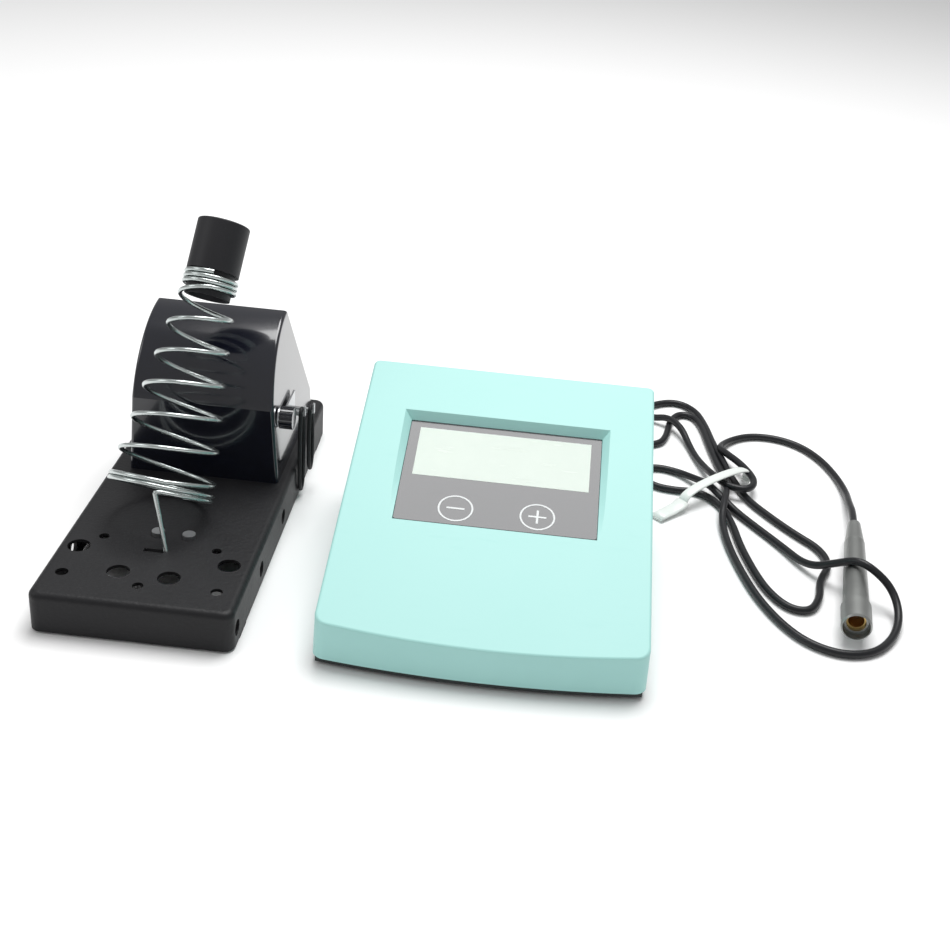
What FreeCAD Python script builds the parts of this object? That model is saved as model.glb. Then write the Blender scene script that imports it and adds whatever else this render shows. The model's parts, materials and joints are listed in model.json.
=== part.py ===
import FreeCAD, Part
import Sketcher
import math
import os
import re

# Soldering station: a wedge-shaped control unit, a tool stand with a spring holder and a
# cleaner hood, and a corded tool handle with its lead tied in a hank. Millimetres, +Z up,
# +Y towards the back. Each group is drawn from its own front-left corner on the bench.

V = FreeCAD.Vector
PLAY = 0.05

SIZES = {
    # where the groups stand
    "station_x": -65.2, "station_y": -102.4, "stand_x": -185.8, "stand_y": -101.7,
    "tool_x": 168.6, "tool_y": -45.9, "tool_yaw": -8.4, "tool_lift": 10.9, "tool_drop": 1.0,
    # control unit case
    "case_width": 140.0, "case_depth": 150.0, "front_height": 22.3, "back_height": 74.5,
    "shell_bottom": 4.0, "side_draft": 2.0, "front_bow": 5.0, "wall": 2.5, "foot_height": 1.2,
    "lip_inset": 1.5, "rim_height": 4.0, "corner_radius": 6.0, "boss_radius": 4.0,
    "boss_inset": 13.0, "case_screw": 1.5,
    # display window
    "glass_x": 24.9, "glass_width": 89.6, "glass_start": 59.3, "glass_height": 64.0,
    "glass_thick": 2.0, "glass_tilt": 3.2, "glass_gap": 0.3, "ledge": 4.0, "ledge_thick": 1.6,
    "bevel_side": 3.6, "bevel_top": 3.4, "lcd_start": 29.0, "lcd_height": 31.0,
    "lcd_thick": 3.0, "board_thick": 1.6, "key_radius": 5.4,
    "key_rise": 9.8, "key_spread": 18.1,
    # parts inside the case
    "board_width": 104.0, "board_depth": 58.0, "board_y": 24.0, "board_z": 9.0,
    "post_radius": 3.0, "board_screw": 1.2, "cell_radius": 9.2, "cell_length": 65.0,
    "cell_y": 96.0, "holder_wall": 1.6,
    # back panel
    "panel_z": 30.0, "switch_x": 30.0, "switch_width": 15.0, "switch_height": 21.0,
    "socket_x": 92.0, "socket_radius": 5.5, "socket_bore": 2.75, "socket_pin": 1.05,
    "gland_x": 120.0, "gland_z": 16.0, "gland_radius": 5.0, "gland_length": 20.0,
    # stand
    "base_width": 87.6, "base_depth": 210.2, "base_height": 19.5, "sheet": 1.5,
    "base_lift": 0.8, "bend_radius": 3.0, "tip_hole": 5.0, "side_hole": 3.7, "side_hole_z": 8.5,
    "slot_x": 42.1, "slot_y": 42.4, "slot_length": 9.0, "slot_width": 2.8, "leg_x": 48.3,
    # spring holder
    "ring_x": 37.6, "ring_y": 71.4, "ring_z": 35.2, "lean_back": 32.5, "lean_right": 6.5,
    "spring_length": 96.0, "ring_low": 23.2, "ring_high": 11.7, "wire": 1.05,
    "turns_low": 2.0, "turns_open": 6.0, "turns_high": 3.0, "close_pitch": 2.3,
    "leg_angle": 27.0,
    # sleeve in the spring
    "sleeve_head": 12.1, "sleeve_bore": 8.6, "sleeve_head_length": 23.5, "sleeve_tail": 11.5,
    # cleaner hood
    "hood_x": 46.0, "hood_width": 73.0, "hood_taper": 5.0, "hood_front": 112.5,
    "hood_back": 197.0, "hood_height": 93.0, "hood_knee": 58.0, "hood_roof": 153.0,
    "hood_wall": 1.4, "tray_wall": 1.5, "tray_height": 16.0, "tray_depth": 70.0,
    "wool_height": 30.0, "knob_y": 122.0, "knob_z": 51.0, "knob_radius": 5.5,
    "knob_length": 6.5, "band_radius": 1.0,
    # tool handle
    "collar_radius": 6.9, "collar_length": 17.0, "barrel_front": 6.1, "barrel_back": 5.0,
    "barrel_end": 76.0, "cone_end": 96.0, "cone_tip": 3.3, "nose_radius": 5.4,
    "barrel_bore": 4.4, "insulator_depth": 9.0, "contact_radius": 0.7, "contact_circle": 2.2,
    # lead
    "lead_radius": 1.9, "tie_x": 184.0, "tie_y": 188.0, "tie_turn": 46.0,
}

doc = FreeCAD.newDocument("soldering_station")
sheet = doc.addObject("Spreadsheet::Sheet", "Sizes")
for row, (alias, amount) in enumerate(SIZES.items(), start=1):
    sheet.set(f"A{row}", str(amount))
    sheet.setAlias(f"A{row}", alias)
doc.recompute()

NODES = []


def size(alias):
    """Gives one driving size from the sheet."""
    return float(sheet.get(alias))


def link(text):
    """Turns the size names in an expression into references to the sheet."""
    return re.sub(r"[a-z][a-z_]+", lambda m: "Sizes." + m.group() if m.group() in SIZES else m.group(), text)


def bind(obj, **expressions):
    """Binds properties of an object to expressions of the sheet's sizes."""
    for name, text in expressions.items():
        obj.setExpression(name, link(text))
    return obj


def at(obj, x="0", y="0", z="0"):
    """Binds an object's place to three expressions."""
    for letter, text in zip("xyz", (x, y, z)):
        obj.setExpression(f"Placement.Base.{letter}", link(text))
    return obj


def box(length, width, height, x="0", y="0", z="0"):
    return at(bind(doc.addObject("Part::Box", "block"), Length=length, Width=width, Height=height), x, y, z)


def rod(radius, height, x="0", y="0", z="0", along="z"):
    obj = bind(doc.addObject("Part::Cylinder", "rod"), Radius=radius, Height=height)
    turns = {"z": FreeCAD.Rotation(), "y": FreeCAD.Rotation(V(1, 0, 0), -90), "x": FreeCAD.Rotation(V(0, 1, 0), 90)}
    obj.Placement = FreeCAD.Placement(V(), turns[along])
    return at(obj, x, y, z)


def fuse(*shapes):
    obj = doc.addObject("Part::MultiFuse", "joined")
    obj.Shapes = list(shapes)
    return obj


def cut(base, *tools):
    obj = doc.addObject("Part::Cut", "trimmed")
    obj.Base = base
    obj.Tool = tools[0] if len(tools) == 1 else fuse(*tools)
    return obj


def common(first, second):
    obj = doc.addObject("Part::MultiCommon", "shared")
    obj.Shapes = [first, second]
    return obj


def group(*shapes):
    obj = doc.addObject("Part::Compound", "set")
    obj.Links = list(shapes)
    return obj


def solid(shape):
    obj = doc.addObject("Part::Feature", "shaped")
    obj.Shape = shape
    return obj


def node(label, obj, frame):
    """Names a finished piece and sets it in its group's frame."""
    if obj.TypeId in ("Part::Box", "Part::Cylinder"):
        obj = group(obj)
    obj.Label = label
    frame(obj)
    NODES.append(obj)
    return obj


def in_station(obj):
    at(obj, "station_x", "station_y")


def in_stand(obj):
    at(obj, "stand_x", "stand_y")


SLOPE = math.degrees(math.atan2(size("back_height") - size("front_height"), size("case_depth")))


def slope_frame():
    """Frame of the sloped top: X across, Y up the slope from the front edge, Z out of it."""
    base = V(size("station_x"), size("station_y"), size("front_height"))
    return FreeCAD.Placement(base, FreeCAD.Rotation(V(1, 0, 0), SLOPE))


def glass_frame():
    """Frame of the display glass, sunk towards its back edge from the slope."""
    tilt = FreeCAD.Rotation(V(1, 0, 0), -size("glass_tilt"))
    return slope_frame().multiply(FreeCAD.Placement(V(size("glass_x"), size("glass_start"), 0), tilt))


def in_glass(obj):
    obj.Placement = glass_frame()


def local(placement):
    """A frame as seen from the station's own corner."""
    corner = FreeCAD.Placement(V(size("station_x"), size("station_y"), 0), FreeCAD.Rotation())
    return corner.inverse().multiply(placement)


def tool_frame():
    """Frame of the tool handle: Y runs from the mouth to the lead."""
    turn = FreeCAD.Rotation(V(0, 0, 1), size("tool_yaw")).multiply(FreeCAD.Rotation(V(1, 0, 0), -size("tool_drop")))
    return FreeCAD.Placement(V(size("tool_x"), size("tool_y"), size("tool_lift")), turn)


def in_tool(obj):
    obj.Placement = tool_frame()


def body_with_profile(points, plane):
    """Makes a body and a closed sketch whose corners are bound to pairs of expressions."""
    body = doc.addObject("PartDesign::Body", "piece")
    sketch = body.newObject("Sketcher::SketchObject", "profile")
    sketch.AttachmentSupport = ([f for f in body.Origin.OriginFeatures if f.Role == plane][0], [""])
    sketch.MapMode = "FlatFace"
    count = len(points)
    probe = doc.addObject("App::FeaturePython", "probe")
    probe.addProperty("App::PropertyFloat", "u")
    probe.addProperty("App::PropertyFloat", "v")
    corners = []
    for across, up in points:
        bind(probe, u=across, v=up)
        doc.recompute([probe])
        corners.append((probe.u, probe.v))
    doc.removeObject(probe.Name)
    for i in range(count):
        start, end = corners[i], corners[(i + 1) % count]
        sketch.addGeometry(Part.LineSegment(V(*start, 0), V(*end, 0)), False)
    for i in range(count):
        sketch.addConstraint(Sketcher.Constraint("Coincident", i, 2, (i + 1) % count, 1))
    for i, (corner, texts) in enumerate(zip(corners, points)):
        for kind, amount, text, axis in (("DistanceX", corner[0], texts[0], -2), ("DistanceY", corner[1], texts[1], -1)):
            if abs(amount) < 1e-9:
                sketch.addConstraint(Sketcher.Constraint("PointOnObject", i, 1, axis))
            else:
                index = sketch.addConstraint(Sketcher.Constraint(kind, -1, 1, i, 1, amount))
                name = f"{kind}{i}"
                sketch.renameConstraint(index, name)
                sketch.setExpression(f"Constraints.{name}", link(text))
    return body, sketch


def padded(points, plane, length):
    """A body padded both ways from its sketch's plane."""
    body, sketch = body_with_profile(points, plane)
    pad = body.newObject("PartDesign::Pad", "pad")
    pad.Profile = sketch
    pad.Midplane = True
    bind(pad, Length=length)
    return body


def turned(points):
    """A body turned about its Y axis from (radius, station) corners."""
    body, sketch = body_with_profile(points, "XY_Plane")
    turn = body.newObject("PartDesign::Revolution", "turn")
    turn.Profile = sketch
    turn.ReferenceAxis = (sketch, ["V_Axis"])
    turn.Angle = 360
    return body


def plate(width, depth, thick, holes=()):
    """A body made as a plate with its corner at the origin and round holes pocketed through it."""
    body, sketch = body_with_profile([("0", "0"), (width, "0"), (width, depth), ("0", depth)], "XY_Plane")
    pad = body.newObject("PartDesign::Pad", "pad")
    pad.Profile = sketch
    bind(pad, Length=thick)
    doc.recompute()
    if holes:
        before = body.Shape.Volume
        drill = body.newObject("Sketcher::SketchObject", "holes")
        drill.AttachmentSupport = sketch.AttachmentSupport
        drill.MapMode = "FlatFace"
        for i, (x, y, radius) in enumerate(holes):
            drill.addGeometry(Part.Circle(V(10 * i, 0, 0), V(0, 0, 1), 1), False)
            for kind, text, where in (("DistanceX", x, "x"), ("DistanceY", y, "y")):
                index = drill.addConstraint(Sketcher.Constraint(kind, -1, 1, i, 3, 5.0))
                drill.renameConstraint(index, f"{where}{i}")
                drill.setExpression(f"Constraints.{where}{i}", link(text))
            index = drill.addConstraint(Sketcher.Constraint("Radius", i, 1.0))
            drill.renameConstraint(index, f"r{i}")
            drill.setExpression(f"Constraints.r{i}", link(radius))
        pocket = body.newObject("PartDesign::Pocket", "drilled")
        pocket.Profile = drill
        pocket.Type = "ThroughAll"
        pocket.Reversed = True
        doc.recompute()
        if body.Shape.Volume >= before:
            raise ValueError("a plate's holes cut nothing")
    return body


# ---------------------------------------------------------------- control unit

def case_outline(inset, z, draft):
    """Plan outline of the case: straight back and sides, bowed front."""
    x0, x1 = inset + draft, size("case_width") - inset - draft
    y0, y1 = inset, size("case_depth") - inset
    front = Part.Arc(V(x1, y0, z), V((x0 + x1) / 2, y0 - size("front_bow"), z), V(x0, y0, z)).toShape()
    sides = [Part.makeLine(V(x0, y0, z), V(x0, y1, z)), Part.makeLine(V(x0, y1, z), V(x1, y1, z)),
             Part.makeLine(V(x1, y1, z), V(x1, y0, z))]
    return Part.Wire([front] + sides)


def case_block(inset, bottom, drop, rounded=0.0):
    """A drafted block of the case's plan under a plane that lies drop below the slope."""
    top = size("back_height") + 10
    draft = size("side_draft") * (top - bottom) / size("back_height")
    block = Part.makeLoft([case_outline(inset, bottom, 0), case_outline(inset, top, draft)], True, True)
    rise = (size("back_height") - size("front_height")) / size("case_depth")
    lid = lambda y: size("front_height") - drop + rise * y
    y0, y1 = -20.0, size("case_depth") + 20
    side = Part.makePolygon([V(-5, y0, -5), V(-5, y1, -5), V(-5, y1, lid(y1)), V(-5, y0, lid(y0)), V(-5, y0, -5)])
    wedge = Part.Face(side).extrude(V(size("case_width") + 10, 0, 0))
    block = block.common(wedge)
    if rounded:
        upright = [e for e in block.Edges if e.BoundBox.ZLength > 10 and e.BoundBox.YLength < 4]
        front = [e for e in upright if e.BoundBox.YMax < 10]
        back = [e for e in upright if e.BoundBox.YMin > size("case_depth") - 10]
        block = block.makeFillet(rounded, front).makeFillet(rounded / 2, back)
        rim = [e for e in block.Edges if e.BoundBox.ZMin > size("front_height") - 2]
        block = block.makeFillet(1.2, rim)
    return block


def in_slope(shape):
    shape = shape.copy()
    shape.Placement = local(slope_frame()).multiply(shape.Placement)
    return shape


def on_glass(shape):
    shape = shape.copy()
    shape.Placement = local(glass_frame()).multiply(shape.Placement)
    return shape


def rectangle(x0, x1, y0, y1, z):
    return Part.makePolygon([V(x0, y0, z), V(x1, y0, z), V(x1, y1, z), V(x0, y1, z), V(x0, y0, z)])


def boss_places():
    inset, width, depth = size("boss_inset"), size("case_width"), size("case_depth")
    return [(x, y) for x in (inset, width - inset) for y in (inset, depth - inset)]


def window_cutter():
    """The recess over the glass: its walls slope out to the case's top at the back and sides."""
    width, height = size("glass_width"), size("glass_height")
    gap, side, top = size("glass_gap"), size("bevel_side"), size("bevel_top")
    low = on_glass(rectangle(-gap, width + gap, -gap, height + gap, -size("glass_thick")))
    mid = on_glass(rectangle(-gap, width + gap, -gap, height + gap, 0))
    x0, y0 = size("glass_x"), size("glass_start")
    high = in_slope(rectangle(x0 - gap - side, x0 + width + gap + side, y0 - gap, y0 + height + gap + top, 0.4))
    seat = Part.makeLoft([low, mid], True, True)
    mouth = Part.makeLoft([mid, high], True, True)
    return seat.fuse(mouth)


def view_hole():
    """The opening under the glass, smaller than it by the ledge that carries it."""
    width, height, ledge = size("glass_width"), size("glass_height"), size("ledge")
    return on_glass(Part.makeBox(width - 2 * ledge, height - 2 * ledge, 20, V(ledge, ledge, -15)))


def display_well():
    """Thickened frame under the slope that holds the glass ledge."""
    width, height = size("glass_width"), size("glass_height")
    depth = size("glass_thick") + size("ledge_thick")
    frame = on_glass(Part.makeBox(width + 8, height + 8, depth + 4, V(-4, -4, -depth)))
    return frame.common(case_block(1.0, size("shell_bottom"), 1.0))


def back_holes():
    """Openings of the back panel for the switch, the charging socket and the lead's gland."""
    depth, z = size("case_depth"), size("panel_z")
    switch = Part.makeBox(size("switch_width"), 12, size("switch_height"),
                          V(size("switch_x") - size("switch_width") / 2, depth - 8, z - size("switch_height") / 2))
    socket = Part.makeCylinder(size("socket_radius"), 12, V(size("socket_x"), depth - 8, z), V(0, 1, 0))
    gland = Part.makeCylinder(size("gland_radius"), 12, V(size("gland_x"), depth - 8, size("gland_z")), V(0, 1, 0))
    return switch.fuse([socket, gland])


def top_shell():
    wall, bottom = size("wall"), size("shell_bottom")
    outer = case_block(0, bottom, 0, size("corner_radius"))
    cavity = case_block(wall, bottom - 1, wall)
    shell = outer.cut(cavity).fuse(display_well())
    for x, y in boss_places():
        post = Part.makeCylinder(size("boss_radius"), size("back_height"), V(x, y, bottom + size("rim_height") + 1))
        shell = shell.fuse(post.common(case_block(1.0, bottom, 1.0)))
        shell = shell.cut(Part.makeCylinder(size("case_screw"), 9, V(x, y, bottom + size("rim_height"))))
    return shell.cut(window_cutter().fuse([view_hole(), back_holes()])).removeSplitter()


node("station_top_shell", solid(top_shell()), in_station)


def slab(inset, z0, z1):
    return Part.Face(case_outline(inset, z0, 0)).extrude(V(0, 0, z1 - z0))


def board_posts():
    x0, y0 = (size("case_width") - size("board_width")) / 2, size("board_y")
    return [(x0 + x, y0 + y) for x in (5, size("board_width") - 5) for y in (5, size("board_depth") - 5)]


def bottom_shell():
    foot, bottom, wall = size("foot_height"), size("shell_bottom"), size("wall")
    floor_top = foot + wall
    rim = wall + 0.3
    tray = slab(size("lip_inset"), foot, bottom).fuse(slab(rim, bottom, bottom + size("rim_height")))
    tray = tray.cut(slab(rim + 2, floor_top, bottom + size("rim_height") + 1))
    for x, y in board_posts():
        tray = tray.fuse(Part.makeCylinder(size("post_radius"), size("board_z") - floor_top, V(x, y, floor_top)))
        tray = tray.cut(Part.makeCylinder(size("board_screw"), 6, V(x, y, size("board_z") - 5)))
    for x, y in boss_places():
        top = bottom + size("rim_height") + 1
        tray = tray.fuse(Part.makeCylinder(size("boss_radius"), top - foot - 0.5, V(x, y, foot + 0.5)))
        tray = tray.cut(Part.makeCylinder(size("case_screw") + 0.2, top, V(x, y, 0)))
        tray = tray.cut(Part.makeCylinder(3.2, 2.2, V(x, y, foot)))
    for i in range(7):
        tray = tray.cut(Part.makeBox(2, 26, 6, V(52 + 6 * i, 30, foot - 1)))
    return tray.removeSplitter()


node("station_bottom_shell", solid(bottom_shell()), in_station)

glass = padded([("0", "-glass_thick"), ("glass_width", "-glass_thick"), ("glass_width", "0"), ("0", "0")],
               "XZ_Plane", "glass_height")
node("display_glass", glass, lambda obj: setattr(
    obj, "Placement", glass_frame().multiply(FreeCAD.Placement(V(0, size("glass_height") / 2, 0), FreeCAD.Rotation()))))

under_ledge = "-glass_thick - ledge_thick"
lcd = box("glass_width - 2*ledge - 2*glass_gap", "lcd_height", "lcd_thick", "ledge + glass_gap", "lcd_start",
          "-glass_thick - lcd_thick - 0.1")
node("lcd_panel", lcd, in_glass)
board_top = "-glass_thick - lcd_thick - 0.1"
display_board = cut(box("glass_width - 4", "glass_height - 4", "board_thick", "2", "2", board_top + " - board_thick"),
                    *[rod("board_screw + 0.2", "board_thick + 2", x, y, board_top + " - board_thick - 1")
                      for x in ("4.5", "glass_width - 4.5") for y in ("4.5", "25")])
node("display_board", display_board, in_glass)
spacer_height = "lcd_thick + 0.1 - ledge_thick"
node("display_spacers", cut(
    group(*[rod("2.4", spacer_height, x, y, board_top)
            for x in ("4.5", "glass_width - 4.5") for y in ("4.5", "25")]),
    group(*[rod("board_screw + 0.2", "lcd_thick + 4", x, y, board_top + " - 1")
            for x in ("4.5", "glass_width - 4.5") for y in ("4.5", "25")])), in_glass)
node("touch_springs", group(*[
    rod("key_radius", "lcd_thick", f"glass_width/2 {sign} key_spread", "key_rise", board_top + " + 0.05")
    for sign in "-+"]), in_glass)

hole_places = [(x, y, "board_screw + 0.2") for x in ("5", "board_width - 5") for y in ("5", "board_depth - 5")]
main_board = plate("board_width", "board_depth", "board_thick", hole_places)
node("main_board", main_board, lambda obj: at(
    obj, "station_x + (case_width - board_width)/2", "station_y + board_y", "board_z"))
board_corner = ("(case_width - board_width)/2", "board_y", "board_z + board_thick")
screw_heads = [fuse(rod("2.2", "1.5", f"{board_corner[0]} + {x}", f"board_y + {y}", board_corner[2]),
                    rod("board_screw - 0.02", "5.5", f"{board_corner[0]} + {x}", f"board_y + {y}", "board_z - 3.9"))
               for x, y, _ in hole_places]
node("main_board_screws", group(*screw_heads), in_station)


def on_board(x, y, above="0"):
    return f"{board_corner[0]} + {x}", f"board_y + {y}", f"{board_corner[2]} + {above}"


node("power_capacitors", group(*[rod("4", "9", *on_board(18 + 11 * i, 40)) for i in range(3)]), in_station)
coil = doc.addObject("Part::Torus", "ring")
bind(coil, Radius1="6", Radius2="3")
at(coil, *on_board(72, 40, "3"))
node("choke_coil", group(coil), in_station)
node("buzzer", rod("6", "6.5", *on_board(16, 18)), in_station)
node("board_sockets", group(*[box("8", "6", "6", *on_board(40 + 14 * i, 5)) for i in range(3)]), in_station)
node("controller_chip", box("12", "12", "1.8", *on_board(44, 20)), in_station)

holder = cut(box("cell_length + 2*holder_wall + 1", "4*cell_radius + 2*holder_wall + 1.4", "12",
                 "case_width/2 - cell_length/2 - holder_wall - 0.5", "cell_y", "foot_height + wall"),
             box("cell_length + 1", "4*cell_radius + 1.4", "20",
                 "case_width/2 - cell_length/2 - 0.5", "cell_y + holder_wall", "foot_height + wall + holder_wall"))
node("battery_holder", holder, in_station)
cell_z = "foot_height + wall + holder_wall + cell_radius"
node("battery_cells", group(*[
    rod("cell_radius", "cell_length", "case_width/2 - cell_length/2",
        f"cell_y + holder_wall + 0.3 + cell_radius*{1 + 2 * i} + {0.5 * i}", cell_z, "x") for i in range(2)]), in_station)

depth_in = "case_depth - wall"
switch_case = cut(
    fuse(box("switch_width + 3", "1.5", "switch_height + 3", "switch_x - switch_width/2 - 1.5", "case_depth",
             "panel_z - switch_height/2 - 1.5"),
         box("switch_width - 0.2", "16", "switch_height - 0.2", "switch_x - switch_width/2 + 0.1", "case_depth - 16",
             "panel_z - switch_height/2 + 0.1")),
    box("switch_width - 3", "12", "switch_height - 3", "switch_x - switch_width/2 + 1.5", "case_depth - 10",
        "panel_z - switch_height/2 + 1.5"))
node("power_switch_case", switch_case, in_station)
rocker = common(rod("switch_height/2 - 2.5", "switch_width - 3.6", "switch_x - switch_width/2 + 1.8", "case_depth - 2",
                    "panel_z", "x"),
                box("switch_width", "20", "switch_height", "switch_x - switch_width/2", "case_depth - 6",
                    "panel_z - switch_height/2"))
valley = rod("14", "switch_width", "switch_x - switch_width/2", "case_depth + 16.5", "panel_z", "x")
node("power_rocker", cut(rocker, valley), in_station)
node("switch_terminals", group(*[box("4", "8", "0.8", "switch_x - 2", "case_depth - 24", f"panel_z + {z}")
                                 for z in (-5, 4)]), in_station)
socket = cut(fuse(rod("socket_radius - 0.1", "14", "socket_x", "case_depth - 12", "panel_z", "y"),
                  rod("socket_radius + 1.6", "1.5", "socket_x", "case_depth", "panel_z", "y")),
             rod("socket_bore", "11", "socket_x", "case_depth - 9", "panel_z", "y"))
node("charge_socket", socket, in_station)
node("charge_socket_nut", cut(rod("socket_radius + 2.5", "3", "socket_x", "case_depth - wall - 3", "panel_z", "y"),
                              rod("socket_radius", "5", "socket_x", "case_depth - wall - 4", "panel_z", "y")), in_station)
node("charge_pin", rod("socket_pin", "8.5", "socket_x", "case_depth - 9", "panel_z", "y"), in_station)


def gland():
    """Rubber bush that grips the panel and tapers along the lead."""
    x, z, depth = size("gland_x"), size("gland_z"), size("case_depth")
    bore, outer = size("lead_radius") + PLAY, size("gland_radius")
    head = Part.makeCylinder(outer + 1.6, 2, V(x, depth, z), V(0, 1, 0))
    neck = Part.makeCylinder(outer - 0.1, size("wall"), V(x, depth - size("wall"), z), V(0, 1, 0))
    lock = Part.makeCylinder(outer + 1.2, 2, V(x, depth - size("wall") - 2, z), V(0, 1, 0))
    tail = Part.makeCone(outer - 1, size("lead_radius") + 0.9, size("gland_length") - 2, V(x, depth + 2, z), V(0, 1, 0))
    shape = head.fuse([neck, lock, tail])
    for i in range(3):
        groove = Part.makeTorus(size("lead_radius") + 2.9 - 0.35 * i, 0.6, V(x, depth + 6 + 5 * i, z), V(0, 1, 0))
        shape = shape.cut(groove)
    return shape.cut(Part.makeCylinder(bore, 60, V(x, depth - 10, z), V(0, 1, 0)))


node("lead_gland", solid(gland()), in_station)
feet = [rod("5", "foot_height", x, y) for x in ("24", "case_width - 24") for y in ("16", "case_depth - 16")]
node("station_feet", group(*feet), in_station)
case_screws = [fuse(rod("2.9", "1.6", str(x), str(y), "foot_height + 0.55"),
                    rod("case_screw - 0.02", "13", str(x), str(y), "foot_height + 0.6")) for x, y in boss_places()]
node("case_screws", group(*case_screws), in_station)


# ---------------------------------------------------------------- stand

stand_feet = []
for x, y, flip in (("0", "12", 1), ("0", "base_depth - 24", 1), ("base_width", "12", -1), ("base_width", "base_depth - 24", -1)):
    pad = box("6", "12", "base_lift + 5", f"{x} + sheet" if flip == 1 else f"{x} - sheet - 6", y, "0")
    lip = box("sheet", "12", "base_lift", x if flip == 1 else f"{x} - sheet", y, "0")
    stand_feet.append(fuse(pad, lip))
node("stand_feet", group(*stand_feet), in_stand)


def spring_axis():
    back, right = math.radians(size("lean_back")), math.radians(size("lean_right"))
    along = V(math.sin(right), math.sin(back) * math.cos(right), math.cos(back) * math.cos(right))
    across = V(0, 0, 1).cross(along).negative()
    across.normalize()
    if across.x < 0:
        across = across.negative()
    inward = along.cross(across)
    return along, across, inward


def spring_frame():
    """Frame of the holder: Z up the spring's axis, X to the right."""
    along, across, inward = spring_axis()
    matrix = FreeCAD.Matrix(across.x, inward.x, along.x, size("ring_x"), across.y, inward.y, along.y, size("ring_y"),
                            across.z, inward.z, along.z, size("ring_z"), 0, 0, 0, 1)
    return FreeCAD.Placement(matrix)


def total_turns():
    """Turns of the whole spring."""
    return size("turns_low") + size("turns_open") + size("turns_high")


def spring_point(turn):
    """A point of the wire's middle line, turn counted from the leg."""
    low, middle, high = size("turns_low"), size("turns_open"), size("turns_high")
    close = size("close_pitch")
    ease = min(max(turn - low, 0), middle) / middle
    rise = size("spring_length") - close * (low + high) / 2
    z = close * (min(turn, low) - low / 2) + rise * ease + close * max(turn - low - middle, 0)
    radius = size("ring_low") + (size("ring_high") - size("ring_low")) * ease
    angle = math.radians(size("leg_angle") - 90) + 2 * math.pi * turn
    return V(radius * math.cos(angle), radius * math.sin(angle), z)


TURN_ARCS = 12
START_STEP = 1 / 16


def spring_start():
    """First point of the bottom turn and the wire's direction there."""
    frame = spring_frame()
    first, second, third = (frame.multVec(spring_point(step * START_STEP)) for step in range(3))
    return first, Part.Arc(first, second, third).toShape()


def spring_leg():
    """Leg from under the base to the bottom turn: its foot, the bend's ends and middle, and its direction."""
    start, arc = spring_start()
    ready = arc.tangentAt(arc.FirstParameter)
    foot = V(size("leg_x"), size("slot_y"), size("base_height") - size("sheet") - 4)
    radius, corner = 3.0, start
    for _ in range(3):
        down = foot - corner
        down.normalize()
        turn = math.acos(max(-1, min(1, down.dot(ready.negative()))))
        reach = radius * math.tan(turn / 2)
        corner = start - ready * reach
    leave = corner + down * reach
    inner = down + ready
    inner.normalize()
    middle = corner + inner * (radius / math.cos(turn / 2) - radius)
    return foot, leave, middle, start, down.negative()


def leg_hole(slack):
    """Drill along the spring's leg, wider than the wire by a clearance."""
    foot, _, _, _, up = spring_leg()
    return Part.makeCylinder(size("wire") + slack, 16, foot - up * 4, up)


def spring_shape():
    """Conical wire spring: close turns, open turns, close turns, and a leg down to the slot."""
    frame = spring_frame()
    steps = int(total_turns() * TURN_ARCS)
    points = [frame.multVec(spring_point(i / (2 * TURN_ARCS))) for i in range(2 * steps + 1)]
    edges = [Part.Arc(points[2 * i], points[2 * i + 1], points[2 * i + 2]).toShape() for i in range(steps)]
    foot, leave, middle, start, up = spring_leg()
    path = Part.Wire([Part.makeLine(foot, leave), Part.Arc(leave, middle, start).toShape()] + edges)
    ring = Part.Wire([Part.makeCircle(size("wire"), foot, up)])
    return path.makePipeShell([ring], True, False)


def stand_base():
    """Folded sheet tray, open below, with tip holes, a slot for the spring and side holes."""
    width, depth, height, sheet_t = size("base_width"), size("base_depth"), size("base_height"), size("sheet")
    lift, bend = size("base_lift"), size("bend_radius")
    outer = Part.makeBox(width, depth, height - lift, V(0, 0, lift))
    inner = Part.makeBox(width - 2 * sheet_t, depth - 2 * sheet_t, height - lift, V(sheet_t, sheet_t, lift - sheet_t))
    upright = [e for e in outer.Edges if e.BoundBox.ZLength > 5]
    outer = outer.makeFillet(bend + 2, upright)
    outer = outer.makeFillet(bend, [e for e in outer.Edges if e.BoundBox.ZMin > height - 0.1])
    upright = [e for e in inner.Edges if e.BoundBox.ZLength > 5]
    inner = inner.makeFillet(bend + 2 - sheet_t, upright)
    inner = inner.makeFillet(bend - sheet_t, [e for e in inner.Edges if e.BoundBox.ZMin > height - sheet_t - 0.1])
    tray = outer.cut(inner)
    holes = [(9.3, 40.2, "tip"), (32.1, 23.6, "tip"), (54.5, 22.7, "tip"), (77.1, 37.1, "tip"),
             (9.2, 18.7, 2.8), (17.5, 49.9, 2.3), (43.4, 14.5, 2.4), (69.0, 47.4, 2.2), (76.9, 16.1, 2.6)]
    for x, y, radius in holes:
        radius = size("tip_hole") if radius == "tip" else radius
        tray = tray.cut(Part.makeCylinder(radius, 10, V(x, y, height - 5)))
    half, half_w = size("slot_length") / 2, size("slot_width") / 2
    slot_x, slot_y = size("slot_x"), size("slot_y")
    tray = tray.cut(Part.makeBox(2 * half, 2 * half_w, 10, V(slot_x - half, slot_y - half_w, height - 5)))
    tray = tray.cut(leg_hole(0.15))
    for y in (8.0, 54.0, 101.0):
        tray = tray.cut(Part.makeCylinder(size("side_hole"), width + 10, V(-5, y, size("side_hole_z")), V(1, 0, 0)))
    for x, y in hood_screw_places() + clamp_screw_places():
        tray = tray.cut(Part.makeCylinder(1.6, 10, V(x, y, height - 5)))
    return tray


def hood_screw_places():
    left = size("hood_x") - size("hood_width") / 2 + 9
    right = size("hood_x") + size("hood_width") / 2 - 9
    return [(x, y) for x in (left, right) for y in (size("hood_front") + 6, size("hood_back") - 12)]


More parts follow.
